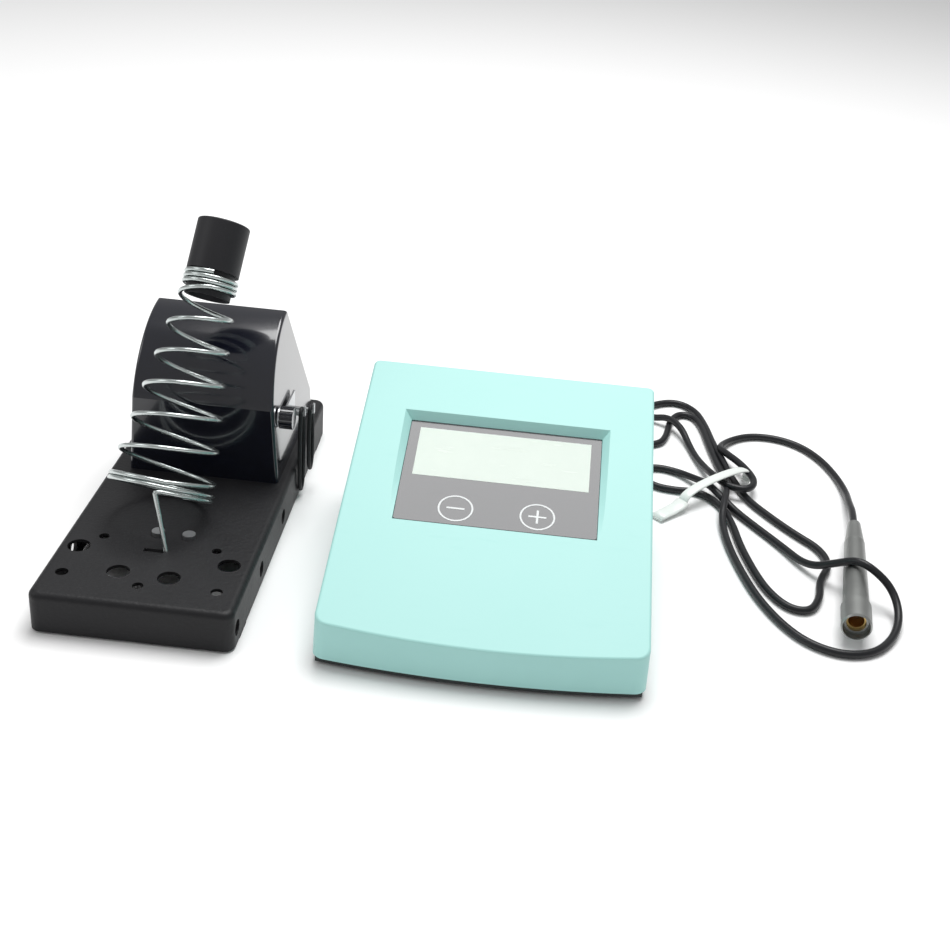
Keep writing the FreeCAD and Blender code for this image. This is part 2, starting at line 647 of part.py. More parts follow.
def clamp_screw_places():
    return [(size("slot_x") - 2, size("slot_y") + 14), (size("slot_x") + 12, size("slot_y") + 14)]


node("stand_base", solid(stand_base()), in_stand)
node("holder_spring", solid(spring_shape()), in_stand)
clamp_z = "base_height - sheet - 3"
clamp = cut(box("26", "24", "3", "slot_x - 9", "slot_y - 4", clamp_z), solid(leg_hole(0.2)),
            *[rod("1.6", "10", str(x), str(y), clamp_z + " - 2") for x, y in clamp_screw_places()])
node("spring_clamp", clamp, in_stand)
clamp_screws = [fuse(rod("1.45", "7", str(x), str(y), "base_height - 6.5"), rod("2.9", "1.8", str(x), str(y), "base_height"))
                for x, y in clamp_screw_places()]
node("clamp_screws", group(*clamp_screws), in_stand)


def holder_sleeve():
    """Stepped tube: a wide head on the spring's end and a tail inside its close turns."""
    head, bore = size("sleeve_head"), size("sleeve_bore")
    tail = size("ring_high") - size("wire") - 0.1
    seat = spring_seat()
    shape = Part.makeCylinder(head, size("sleeve_head_length"), V(0, 0, seat))
    shape = shape.makeFillet(0.8, [e for e in shape.Edges if e.BoundBox.ZMin > seat + 1 and e.BoundBox.XLength > head])
    shape = shape.fuse(Part.makeCylinder(tail, size("sleeve_tail") + 1, V(0, 0, seat - size("sleeve_tail"))))
    shape = shape.cut(Part.makeCylinder(bore, 80, V(0, 0, seat - 40)))
    shape = shape.cut(Part.makeCone(bore, head - 1.4, 4, V(0, 0, seat + size("sleeve_head_length") - 4 + 0.01)))
    return shape


def spring_seat():
    """Height along the axis where the sleeve's shoulder meets the last turn."""
    return spring_point(total_turns()).z + size("wire") + 0.05


def in_spring(obj):
    stand = FreeCAD.Placement(V(size("stand_x"), size("stand_y"), 0), FreeCAD.Rotation())
    obj.Placement = stand.multiply(spring_frame())


node("holder_sleeve", solid(holder_sleeve()), in_spring)


def hood_profile(offset, back):
    """Side outline of the hood: upright front, round shoulder, sloping rear rim."""
    floor = size("base_height")
    front, knee = size("hood_front") + offset, size("hood_knee")
    roof, top = size("hood_roof"), size("hood_height") - offset
    shoulder = V(0, front + 0.29 * (roof - front), knee + 0.62 * (top - knee))
    arc = Part.Arc(V(0, front, knee), shoulder, V(0, roof + back, top)).toShape()
    lines = [(V(0, roof + back, top), V(0, size("hood_back") + back, floor + 12)),
             (V(0, size("hood_back") + back, floor + 12), V(0, size("hood_back") + back, floor)),
             (V(0, size("hood_back") + back, floor), V(0, front, floor)),
             (V(0, front, floor), V(0, front, knee))]
    wire = Part.Wire([arc] + [Part.makeLine(*ends) for ends in lines])
    return Part.Face(wire)


def hood_block(offset, back, lower):
    """The hood's profile across its width, narrowed towards the top."""
    width, centre = size("hood_width"), size("hood_x")
    face = hood_profile(offset, back)
    face.translate(V(centre - width / 2 - 5, 0, -lower))
    block = face.extrude(V(width + 10, 0, 0))
    half_low, half_high = width / 2 - offset, width / 2 - offset - size("hood_taper")
    floor, top = size("base_height") - 2, size("hood_height") + 5
    frame = Part.makePolygon([V(centre - half_low, 0, floor), V(centre + half_low, 0, floor),
                              V(centre + half_high, 0, top), V(centre - half_high, 0, top), V(centre - half_low, 0, floor)])
    funnel = Part.Face(frame).extrude(V(0, size("base_depth") + 60, 0))
    return block.common(funnel)


def cleaner_hood():
    wall = size("hood_wall")
    outer = hood_block(0, 0, 0)
    curved = [e for e in outer.Edges if e.BoundBox.XLength < 12 and e.BoundBox.YMax < size("hood_roof") + 1
              and e.BoundBox.ZLength > 8]
    outer = outer.makeFillet(1.6, curved)
    shape = outer.cut(hood_block(wall, 30, 2))
    for x, y in hood_screw_places():
        inner = Part.makeBox(12, 12, 1.5, V(x - 6, y - 6, size("base_height")))
        reach = Part.makeBox(20, 12, 1.5, V(x - 14 if x < size("hood_x") else x - 6, y - 6, size("base_height")))
        tab = inner.fuse(reach).common(outer)
        shape = shape.fuse(tab).cut(Part.makeCylinder(1.6, 6, V(x, y, size("base_height") - 2)))
    knob = Part.makeCylinder(1.6, 20, V(size("hood_x") + size("hood_width") / 2 - 14, size("knob_y"), size("knob_z")), V(1, 0, 0))
    return shape.cut(knob)


node("cleaner_hood", solid(cleaner_hood()), in_stand)
hood_screws = [fuse(rod("1.45", "8", str(x), str(y), "base_height - 5"), rod("2.9", "1.6", str(x), str(y), "base_height + 1.55"))
               for x, y in hood_screw_places()]
node("hood_screws", group(*hood_screws), in_stand)

tray_floor = "base_height + 3.6"
tray_half = "(hood_width/2 - hood_wall - 3.4)"
tray = cut(box(f"2*{tray_half}", "tray_depth", "tray_height", f"hood_x - {tray_half}", "hood_front + hood_wall + 12", tray_floor),
           box(f"2*{tray_half} - 2*tray_wall", "tray_depth - 2*tray_wall", "tray_height", f"hood_x - {tray_half} + tray_wall",
               "hood_front + hood_wall + 12 + tray_wall", tray_floor + " + tray_wall"))
node("wool_tray", tray, in_stand)
wool = box(f"2*{tray_half} - 2*tray_wall - 0.8", "tray_depth - 2*tray_wall - 0.8", "wool_height - tray_wall",
           f"hood_x - {tray_half} + tray_wall + 0.4", "hood_front + hood_wall + 12.4 + tray_wall", tray_floor + " + tray_wall")
wool_round = doc.addObject("Part::Fillet", "crown")
doc.recompute()
wool_round.Base = wool
wool_round.Edges = [(i + 1, 7.0, 7.0) for i, e in enumerate(wool.Shape.Edges)
                    if e.BoundBox.ZMin > wool.Shape.BoundBox.ZMax - 0.1]
node("brass_wool", wool_round, in_stand)
rails = [box("2", "tray_depth + 3", "3.55", f"hood_x + {x}", "hood_front + 22", "base_height") for x in (-20, 18)]
node("tray_rails", group(*rails), in_stand)


def hood_side(z):
    """X of the hood's right face at a height."""
    floor, top = size("base_height") - 2, size("hood_height") + 5
    return size("hood_x") + size("hood_width") / 2 - size("hood_taper") * (z - floor) / (top - floor)


def knob_shapes():
    """Knurled thumbscrew on the hood's right side, and the washer under it."""
    x, y, z, radius = hood_side(size("knob_z")), size("knob_y"), size("knob_z"), size("knob_radius")
    washer = Part.makeCylinder(radius - 0.6, 0.8, V(x + 0.35, y, z), V(1, 0, 0))
    washer = washer.cut(Part.makeCylinder(1.6, 3, V(x - 1, y, z), V(1, 0, 0)))
    head = Part.makeCylinder(radius, size("knob_length"), V(x + 1.2, y, z), V(1, 0, 0))
    for i in range(20):
        turn = 2 * math.pi * i / 20
        head = head.cut(Part.makeCylinder(0.45, size("knob_length") + 1,
                                          V(x + 1, y + radius * math.cos(turn), z + radius * math.sin(turn)), V(1, 0, 0)))
    stem = Part.makeCylinder(1.52, 9, V(x - 7, y, z), V(1, 0, 0))
    return head.fuse(stem), washer


knob_head, knob_washer = knob_shapes()
node("hood_knob", solid(knob_head), in_stand)
node("knob_washer", solid(knob_washer), in_stand)


def route_wire(points, share=0.45, closed=False, report=None):
    """Straight runs joined by tangent arcs, each as large as its two runs allow."""
    if closed:
        points = points[:-1]
        count = len(points)
        corners = range(count)
    else:
        count = len(points)
        corners = range(1, count - 1)
    cuts = {}
    for i in corners:
        before, here, after = points[i - 1], points[i], points[(i + 1) % count]
        into, out = here - before, after - here
        trim = share * min(into.Length, out.Length)
        turn = into.getAngle(out)
        into.normalize()
        out.normalize()
        start, end = here - into * trim, here + out * trim
        radius = trim / math.tan(turn / 2)
        inner = out - into
        inner.normalize()
        middle = here + inner * (radius / math.cos(turn / 2) - radius)
        cuts[i] = (start, middle, end)
        if report is not None:
            report.append(radius)
    edges = []
    order = list(range(count)) if closed else list(range(count - 1))
    for i in order:
        j = (i + 1) % count
        start = cuts[i][2] if i in cuts else points[i]
        end = cuts[j][0] if j in cuts else points[j]
        edges.append(Part.makeLine(start, end))
        if j in cuts:
            edges.append(Part.Arc(*cuts[j]).toShape())
    return Part.Wire(edges)


def solid_path(points, radius, closed=False, name=None):
    """A round bar along a route; prints its radii and compares its volume."""
    radii = []
    wire = route_wire(points, closed=closed, report=radii)
    first = wire.Edges[0]
    heading = first.tangentAt(first.FirstParameter)
    circle = Part.Wire([Part.makeCircle(radius, first.valueAt(first.FirstParameter), heading)])
    tube = wire.makePipeShell([circle], True, False)
    expected = math.pi * radius * radius * wire.Length
    if name:
        print(name, "length", round(wire.Length, 1), "radii", [round(r, 1) for r in radii])
    if abs(tube.Volume / expected - 1) > 0.02:
        raise ValueError(f"{name}: volume {tube.Volume} against {expected}")
    return tube


def band_loop(x, y, z, drop):
    """A rubber band hanging from a hook at (y, z) down to drop below it."""
    low = z - drop
    corners = [(3.2, z + 3.6), (6.4, z - 4), (8.2, z - 0.5 * drop), (7.2, low + 4), (3.0, low), (-1.4, low + 5),
               (-2.4, z - 0.5 * drop), (-1.8, z - 5), (-0.6, z + 3.4)]
    loop = [V(x, y + across, height) for across, height in corners]
    return solid_path(loop + [loop[0]], size("band_radius"), closed=True)


def band_shapes():
    """Clip on the hood's side with two hooks, and the rubber bands that hang from them."""
    radius = size("band_radius")
    y, z = size("knob_y") + 13, size("knob_z") - 5
    near = hood_side(z - 6) + 0.3
    clip = Part.makeBox(0.9, 22, 10, V(near, y - 4, z - 5))
    bands = []
    for along, down, drop in ((0, 0, 43), (10, 3, 33)):
        x = size("base_width") + radius + 0.4 + 0.26 * along
        clip = clip.fuse(Part.makeBox(x + 1.8 - near, 2, 2.2, V(near, y + along, z - down)))
        clip = clip.fuse(Part.makeBox(0.8, 2, 5, V(x + radius + 0.2, y + along, z - down)))
        bands.append(band_loop(x, y + along - 0.4, z - down - 0.2, drop))
    return clip, Part.makeCompound(bands)


clip_shape, band_shape = band_shapes()
node("band_clip", solid(clip_shape), in_stand)
node("rubber_band", solid(band_shape), in_stand)


# ---------------------------------------------------------------- tool handle

collar = turned([("nose_radius + 0.05", "2"), ("collar_radius - 0.8", "0"), ("collar_radius", "0.8"),
                 ("collar_radius", "collar_length - 0.8"), ("collar_radius - 0.8", "collar_length"),
                 ("nose_radius + 0.05", "collar_length")])
node("locking_collar", collar, in_tool)
barrel = turned([("barrel_bore", "4"), ("nose_radius", "4"), ("nose_radius", "collar_length + 0.3"),
                 ("barrel_front", "collar_length + 0.3"), ("barrel_back", "barrel_end - 3"), ("barrel_back", "barrel_end"),
                 ("barrel_bore", "barrel_end")])
node("handle_barrel", barrel, in_tool)
cone = turned([("lead_radius + 0.05", "barrel_end + 2"), ("barrel_bore - 0.05", "barrel_end - 6"), ("barrel_bore - 0.05", "barrel_end"),
               ("barrel_back", "barrel_end"), ("barrel_back - 0.3", "barrel_end + 2"), ("cone_tip", "cone_end"),
               ("lead_radius + 0.05", "cone_end")])
node("handle_tail", cone, in_tool)
shell_ring = turned([("barrel_bore - 0.9", "6"), ("barrel_bore - 0.05", "6"), ("barrel_bore - 0.05", "4 + insulator_depth"),
                     ("barrel_bore - 0.9", "4 + insulator_depth")])
node("socket_shell", shell_ring, in_tool)
pins = [(size("contact_circle") * math.cos(math.radians(a)), size("contact_circle") * math.sin(math.radians(a))) for a in (90, 210, 330)]
insulator = cut(rod("barrel_bore - 0.05", "12", "0", "4.05 + insulator_depth", "0", "y"),
                *[rod("contact_radius + 0.02", "40", str(x), "0", str(z), "y") for x, z in pins])
node("socket_insulator", insulator, in_tool)
node("socket_contacts", group(*[rod("contact_radius", "18", str(x), "4.4 + insulator_depth", str(z), "y") for x, z in pins]), in_tool)
ring = turned([("nose_radius - 0.7 + 0.75", "collar_length + 0.05"), ("barrel_front", "collar_length + 0.05"),
               ("barrel_front", "collar_length + 0.25"), ("nose_radius + 0.05", "collar_length + 0.25")])
node("collar_ring", ring, in_tool)
core = turned([("2.4", "33"), ("barrel_bore - 0.3", "33"), ("barrel_bore - 0.3", "barrel_end - 8"), ("2.4", "barrel_end - 8")])
node("wire_tube", core, in_tool)


# ---------------------------------------------------------------- lead

def station_point(x, y, z):
    return V(x + size("station_x"), y + size("station_y"), z)


LEAD_REAR = [(120, 176, 16), (120.5, 191, 11), (122, 205, 4.5), (125, 219, 1.9), (137, 230, 1.9), (153, 233, 1.9)]
LEAD_END = [(186, 233, 3.5), (193, 247, 1.9), (205, 256, 1.9), (220, 257, 1.9), (234, 250, 1.9), (244, 235, 1.9),
            (250, 216, 1.9), (252, 197, 3.0), (250.4, 181, 6.0)]
LEAD_BIGHT = [(221, 116, 3.5), (232, 108, 12), (239, 102, 18.6), (246, 97, 18.2), (256, 93, 11), (259, 81, 4.5),
              (254, 65, 1.9), (243, 51, 1.9), (228, 47, 1.9), (214, 53, 1.9)]


def handle_end():
    """Where the lead enters the handle's tail, and the direction out of it."""
    frame = tool_frame()
    return frame.multVec(V(0, size("cone_end") - 8, 0)), frame.multVec(V(0, size("cone_end") + 12, 0))


def lead_shapes():
    radius = size("lead_radius")
    start = V(size("gland_x") + size("station_x"), size("case_depth") + size("station_y") + 4, size("gland_z"))
    rear = [start] + [station_point(*p) for p in LEAD_REAR]
    inside, outside = handle_end()
    end = [station_point(*p) for p in LEAD_END] + [outside, inside]
    bight = [station_point(*p) for p in LEAD_BIGHT]
    return (solid_path(rear, radius, name="lead_rear"), solid_path(end, radius, name="lead_end"),
            solid_path(bight, radius, name="lead_bight"))


def hank_shape():
    """One flat closed solid round the tied turns, from the bow behind the case to the handle."""
    outline = [(150, 180), (141, 184), (140, 204), (148, 212), (150, 240), (142, 262), (142, 284), (163, 293),
               (178, 287), (188, 262), (189, 236), (193, 212), (206, 172), (224, 150), (236, 134), (229, 109), (215, 116), (199, 138), (192, 140), (197, 98), (214, 72),
               (216, 50), (203, 60), (188, 84), (178, 122), (174, 158)]
    wire = Part.makePolygon([station_point(x, y, 0.05) for x, y in outline + [outline[0]]])
    return Part.Face(wire).extrude(V(0, 0, 9.0))


rear_tube, end_tube, bight_tube = lead_shapes()
hank = hank_shape()
node("lead_rear", solid(rear_tube.cut(hank)), lambda obj: None)
node("lead_end", solid(end_tube.cut(hank)), lambda obj: None)
node("lead_bight", solid(bight_tube.cut(hank)), lambda obj: None)


def tie_shape():
    """Soft tie: a strap over the hank's waist, its ends on the bench, and its flat paddle."""
    left, right, width, top, thick = 30.7, 23.0, 7.0, 9.0, 1.8
    strap = Part.makeBox(left + right, width, thick, V(-left, -width / 2, top + 0.1))
    legs = [Part.makeBox(thick, width, top + thick + 0.1, V(x, -width / 2, 0)) for x in (-left - thick, right)]
    paddle = Part.makeBox(18, width + 2, 3, V(-left - thick - 18, -width / 2 - 1, 0))
    shape = strap.fuse(legs + [paddle])
    shape.rotate(V(0, 0, 0), V(0, 0, 1), size("tie_turn"))
    shape.translate(station_point(size("tie_x"), size("tie_y"), 0))
    return shape


node("lead_tie", solid(tie_shape()), lambda obj: None)
node("lead_hank", solid(hank), lambda obj: None)

doc.recompute()


def check(obj):
    """Stops the build on a failed object or a bad shape."""
    if any(word in obj.State for word in ("Invalid", "Error")):
        raise ValueError(f"{obj.Label} failed: {obj.State}")
    if hasattr(obj, "Shape") and obj in NODES and (obj.Shape.isNull() or not obj.Shape.isValid() or not obj.Shape.Solids):
        raise ValueError(f"{obj.Label} has a bad shape")


for item in doc.Objects:
    check(item)
os.makedirs("parts", exist_ok=True)
for item in NODES:
    item.Shape.exportStep(f"parts/{item.Label}.step")
bounds = FreeCAD.BoundBox()
for item in NODES:
    if not item.Label.startswith("lead_") or item.Label == "lead_gland":
        bounds.add(item.Shape.BoundBox)
print(len(NODES), "nodes; box without the lead", bounds)
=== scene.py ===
"""Looks of a soldering iron station: its finishes, its free lead, its display, its spring and its wool."""

import json
import logging
import math
from dataclasses import dataclass
from enum import Enum

import bmesh
import bpy
from mathutils import Matrix, Vector

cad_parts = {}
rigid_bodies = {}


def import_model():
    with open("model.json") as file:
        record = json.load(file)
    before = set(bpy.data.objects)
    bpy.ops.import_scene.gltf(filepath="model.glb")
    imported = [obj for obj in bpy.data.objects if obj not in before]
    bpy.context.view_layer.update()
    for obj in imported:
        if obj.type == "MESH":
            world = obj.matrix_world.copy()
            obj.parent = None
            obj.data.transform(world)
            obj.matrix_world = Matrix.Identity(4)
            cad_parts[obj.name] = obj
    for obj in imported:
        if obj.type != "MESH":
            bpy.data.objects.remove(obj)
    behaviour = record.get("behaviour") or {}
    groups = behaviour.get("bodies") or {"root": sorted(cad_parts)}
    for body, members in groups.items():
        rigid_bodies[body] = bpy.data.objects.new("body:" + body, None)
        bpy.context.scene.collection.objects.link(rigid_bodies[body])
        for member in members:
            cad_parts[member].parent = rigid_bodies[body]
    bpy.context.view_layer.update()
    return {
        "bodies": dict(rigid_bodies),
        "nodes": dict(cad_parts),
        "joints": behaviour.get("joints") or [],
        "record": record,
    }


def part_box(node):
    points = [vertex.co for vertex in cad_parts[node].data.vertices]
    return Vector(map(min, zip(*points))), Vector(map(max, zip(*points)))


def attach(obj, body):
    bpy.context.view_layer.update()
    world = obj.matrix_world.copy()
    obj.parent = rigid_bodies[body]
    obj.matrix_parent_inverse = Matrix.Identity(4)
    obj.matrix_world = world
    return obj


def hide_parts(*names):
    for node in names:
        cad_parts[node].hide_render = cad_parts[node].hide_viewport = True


LOG = logging.getLogger("station")
STATION_CORNER = Vector((-0.0652, -0.1024, 0))
STAND_CORNER = Vector((-0.1858, -0.1017, 0))
METAL_SCUFFS, OTHER_SCUFFS = 0.5, 0.22
SCUFF_ROUGHNESS = 0.25
ROUGH_LOW, ROUGH_HIGH = 0.82, 1.22
COATED_RELIEF, OTHER_RELIEF = 0.0004, 0.0002
BAND_CORNERS = 12
RING_STEPS = 64
TURN_STEPS = 40
LEG_FOOT = Vector((0.0483, 0.0424, 0.0142))


class Kind(Enum):
    """The ways that a surface is made."""

    MOULDED = "moulded"
    GLOSSY = "glossy"
    COATED = "coated"
    METAL = "metal"


@dataclass(frozen=True)
class Finish:
    """One finish: its colours, its gloss and the scale of its grain."""

    slot: str
    kind: Kind
    light: tuple[float, float, float]
    dark: tuple[float, float, float]
    rough: float
    grain: float = 900.0
    depth: float = 0.15
    coat: float = 0.0
    nodes: tuple[str, ...] = ()


FINISHES = (
    Finish("case_teal", Kind.MOULDED, (0.42, 0.74, 0.70), (0.38, 0.69, 0.655), 0.42, 1500, 0.05, 0.0,
           ("station_top_shell",)),
    Finish("case_dark", Kind.MOULDED, (0.05, 0.055, 0.055), (0.03, 0.033, 0.034), 0.5, 1200, 0.12, 0.0,
           ("station_bottom_shell", "battery_holder", "board_sockets", "buzzer")),
    Finish("lcd", Kind.GLOSSY, (0.47, 0.55, 0.48), (0.35, 0.43, 0.37), 0.25, 300, 0.01, 0.2, ("lcd_panel",)),
    Finish("circuit_board", Kind.GLOSSY, (0.02, 0.16, 0.06), (0.01, 0.10, 0.04), 0.35, 400, 0.08, 0.3,
           ("display_board", "main_board")),
    Finish("steel", Kind.METAL, (0.62, 0.63, 0.64), (0.46, 0.47, 0.48), 0.3, 700, 0.06, 0.0,
           ("case_screws", "main_board_screws", "hood_screws", "clamp_screws", "spring_clamp", "tray_rails",
            "touch_springs", "charge_pin", "charge_socket_nut", "knob_washer", "band_clip", "wool_tray")),
    Finish("component_black", Kind.MOULDED, (0.03, 0.03, 0.032), (0.015, 0.015, 0.016), 0.45, 900, 0.1, 0.0,
           ("power_capacitors", "controller_chip", "charge_socket", "display_spacers")),
    Finish("copper", Kind.METAL, (0.80, 0.42, 0.24), (0.55, 0.27, 0.14), 0.32, 900, 0.1, 0.0,
           ("choke_coil", "switch_terminals", "wire_tube")),
    Finish("cell_wrap", Kind.GLOSSY, (0.05, 0.20, 0.42), (0.03, 0.14, 0.32), 0.32, 500, 0.03, 0.3,
           ("battery_cells",)),
    Finish("switch_black", Kind.GLOSSY, (0.02, 0.02, 0.022), (0.01, 0.01, 0.012), 0.28, 900, 0.04, 0.2,
           ("power_switch_case", "power_rocker")),
    Finish("brass", Kind.METAL, (0.86, 0.62, 0.25), (0.50, 0.31, 0.10), 0.3, 600, 0.1, 0.0,
           ("socket_contacts", "socket_shell")),
    Finish("rubber_black", Kind.MOULDED, (0.028, 0.028, 0.03), (0.014, 0.014, 0.015), 0.62, 800, 0.15, 0.0,
           ("station_feet", "stand_feet", "lead_gland", "rubber_band")),
    Finish("powder_black", Kind.COATED, (0.013, 0.013, 0.015), (0.006, 0.006, 0.007), 0.5, 520, 0.5, 0.0,
           ("stand_base",)),
    Finish("zinc_wire", Kind.METAL, (0.72, 0.76, 0.75), (0.42, 0.47, 0.46), 0.24, 500, 0.05),
    Finish("sleeve_black", Kind.MOULDED, (0.022, 0.022, 0.025), (0.012, 0.012, 0.014), 0.5, 700, 0.12, 0.0,
           ("holder_sleeve",)),
    Finish("gloss_black", Kind.GLOSSY, (0.006, 0.007, 0.014), (0.003, 0.004, 0.009), 0.16, 260, 0.03, 0.7,
           ("cleaner_hood", "hood_knob")),
    Finish("handle_metal", Kind.METAL, (0.40, 0.41, 0.40), (0.27, 0.28, 0.27), 0.4, 800, 0.12, 0.0,
           ("locking_collar", "handle_barrel", "handle_tail", "collar_ring")),
    Finish("insulator_brown", Kind.GLOSSY, (0.20, 0.075, 0.02), (0.10, 0.035, 0.01), 0.3, 500, 0.06, 0.2,
           ("socket_insulator",)),
    Finish("lead_black", Kind.MOULDED, (0.018, 0.019, 0.021), (0.010, 0.010, 0.012), 0.34, 1400, 0.05),
    Finish("tie_clear", Kind.GLOSSY, (0.84, 0.87, 0.84), (0.74, 0.78, 0.75), 0.3, 400, 0.04, 0.2),
    Finish("display_glass", Kind.GLOSSY, (0.005, 0.006, 0.011), (0.003, 0.004, 0.008), 0.12, 200, 0.0, 0.0),
    Finish("component_white", Kind.GLOSSY, (0.55, 0.58, 0.58), (0.48, 0.51, 0.51), 0.3, 300, 0.0, 0.2),
)


def grain_group() -> bpy.types.NodeTree:
    """Surface grain shared by every finish.

    Returns:
        A group that turns a scale into a fine height and a slow smudge mask.
    """
    group = bpy.data.node_groups.new("Surface grain", "ShaderNodeTree")
    scale = group.interface.new_socket("Grain scale", in_out="INPUT", socket_type="NodeSocketFloat")
    scale.default_value = 800.0
    smudge = group.interface.new_socket("Smudge scale", in_out="INPUT", socket_type="NodeSocketFloat")
    smudge.default_value = 30.0
    for name in ("Height", "Smudge"):
        group.interface.new_socket(name, in_out="OUTPUT", socket_type="NodeSocketFloat")
    entry = group.nodes.new("NodeGroupInput")
    leave = group.nodes.new("NodeGroupOutput")
    place = group.nodes.new("ShaderNodeTexCoord")
    for source, output, detail in (("Grain scale", "Height", 3.0), ("Smudge scale", "Smudge", 5.0)):
        noise = group.nodes.new("ShaderNodeTexNoise")
        noise.inputs["Detail"].default_value = detail
        noise.inputs["Roughness"].default_value = 0.6
        group.links.new(place.outputs["Object"], noise.inputs["Vector"])
        group.links.new(entry.outputs[source], noise.inputs["Scale"])
        group.links.new(noise.outputs["Fac"], leave.inputs[output])
    return group


def rub_group() -> bpy.types.NodeTree:
    """Rubbing that a surface gets in use.

    Returns:
        A group that gives a mask of fine scuffs, more of them as its amount grows.
    """
    group = bpy.data.node_groups.new("Handling scuffs", "ShaderNodeTree")
    amount = group.interface.new_socket("Amount", in_out="INPUT", socket_type="NodeSocketFloat")
    amount.default_value = 0.3
    group.interface.new_socket("Scuffs", in_out="OUTPUT", socket_type="NodeSocketFloat")
    entry = group.nodes.new("NodeGroupInput")
    leave = group.nodes.new("NodeGroupOutput")
    place = group.nodes.new("ShaderNodeTexCoord")
    stretch = group.nodes.new("ShaderNodeMapping")
    stretch.inputs["Scale"].default_value = (60, 420, 160)
    stretch.inputs["Rotation"].default_value = (0.3, 0.2, 0.7)
    noise = group.nodes.new("ShaderNodeTexNoise")
    noise.inputs["Scale"].default_value = 1.0
    noise.inputs["Detail"].default_value = 6.0
    ramp = group.nodes.new("ShaderNodeMapRange")
    ramp.inputs["From Min"].default_value = 0.62
    ramp.inputs["From Max"].default_value = 0.74
    scaled = group.nodes.new("ShaderNodeMath")
    scaled.operation = "MULTIPLY"
    group.links.new(place.outputs["Object"], stretch.inputs["Vector"])
    group.links.new(stretch.outputs["Vector"], noise.inputs["Vector"])
    group.links.new(noise.outputs["Fac"], ramp.inputs["Value"])
    group.links.new(ramp.outputs["Result"], scaled.inputs[0])
    group.links.new(entry.outputs["Amount"], scaled.inputs[1])
    group.links.new(scaled.outputs["Value"], leave.inputs["Scuffs"])
    return group


class Palette:
    """Every material of the station, by the slot it belongs to."""

    def __init__(self) -> None:
        """Builds the shared groups and the materials."""
        self.grain = grain_group()
        self.rub = rub_group()
        self.materials = {finish.slot: self.make(finish) for finish in FINISHES}

    def make(self, finish: Finish) -> bpy.types.Material:
        """Makes one material.

        Args:
            finish: The finish that it shows.

        Returns:
            The material.
        """
        material = bpy.data.materials.new(finish.slot)
        material.use_nodes = True
        tree = material.node_tree
        shader = tree.nodes["Principled BSDF"]
        grain = tree.nodes.new("ShaderNodeGroup")
        grain.node_tree = self.grain
        grain.inputs["Grain scale"].default_value = finish.grain
        rub = tree.nodes.new("ShaderNodeGroup")
        rub.node_tree = self.rub
        rub.inputs["Amount"].default_value = METAL_SCUFFS if finish.kind is Kind.METAL else OTHER_SCUFFS
        colour = tree.nodes.new("ShaderNodeMix")
        colour.data_type = "RGBA"
        colour.inputs["A"].default_value = (*finish.dark, 1)
        colour.inputs["B"].default_value = (*finish.light, 1)
        tree.links.new(grain.outputs["Smudge"], colour.inputs["Factor"])
        tree.links.new(colour.outputs["Result"], shader.inputs["Base Color"])
        rough = tree.nodes.new("ShaderNodeMapRange")
        rough.inputs["To Min"].default_value = finish.rough * ROUGH_LOW
        rough.inputs["To Max"].default_value = min(1.0, finish.rough * ROUGH_HIGH)
        worn = tree.nodes.new("ShaderNodeMath")
        worn.operation = "MULTIPLY_ADD"
        worn.inputs[1].default_value = SCUFF_ROUGHNESS
        tree.links.new(grain.outputs["Smudge"], rough.inputs["Value"])
        tree.links.new(rub.outputs["Scuffs"], worn.inputs[0])
        tree.links.new(rough.outputs["Result"], worn.inputs[2])
        tree.links.new(worn.outputs["Value"], shader.inputs["Roughness"])
        if finish.depth > 0:
            bump = tree.nodes.new("ShaderNodeBump")
            bump.inputs["Strength"].default_value = finish.depth
            relief = COATED_RELIEF if finish.kind is Kind.COATED else OTHER_RELIEF
            bump.inputs["Distance"].default_value = relief
            tree.links.new(grain.outputs["Height"], bump.inputs["Height"])
            tree.links.new(bump.outputs["Normal"], shader.inputs["Normal"])
        shader.inputs["Metallic"].default_value = 1.0 if finish.kind is Kind.METAL else 0.0
        shader.inputs["Coat Weight"].default_value = finish.coat
        if finish.kind in (Kind.COATED, Kind.MOULDED):
            shader.inputs["Specular IOR Level"].default_value = 0.3
        shader.inputs["Coat Roughness"].default_value = 0.06
        return material

    def dress(self, obj: bpy.types.Object, slot: str) -> None:
        """Gives a piece one finish.

        Args:
            obj: The piece.
            slot: The finish's slot.
        """
        obj.data.materials.clear()
        obj.data.materials.append(self.materials[slot])

    def dress_frame(self, nodes: dict[str, bpy.types.Object]) -> None:
        """Gives each carried-over node its finish.

        Args:
            nodes: The frame's nodes by name.
        """
        for finish in FINISHES:
            for name in finish.nodes:
                self.dress(nodes[name], finish.slot)


def mesh_object(name: str, mesh: bmesh.types.BMesh, smooth: bool = True) -> bpy.types.Object:
    """Turns built geometry into a piece.

    Args:
        name: The piece's name.
        mesh: The geometry, in the row's frame.
        smooth: Whether its faces shade smoothly.

    Returns:
        The piece.
    """
    bmesh.ops.remove_doubles(mesh, verts=mesh.verts, dist=1e-7)
    bmesh.ops.recalc_face_normals(mesh, faces=mesh.faces)
    data = bpy.data.meshes.new(name)
    mesh.to_mesh(data)
    mesh.free()
    for face in data.polygons:
        face.use_smooth = smooth
    obj = bpy.data.objects.new(name, data)
    bpy.context.scene.collection.objects.link(obj)
    return obj


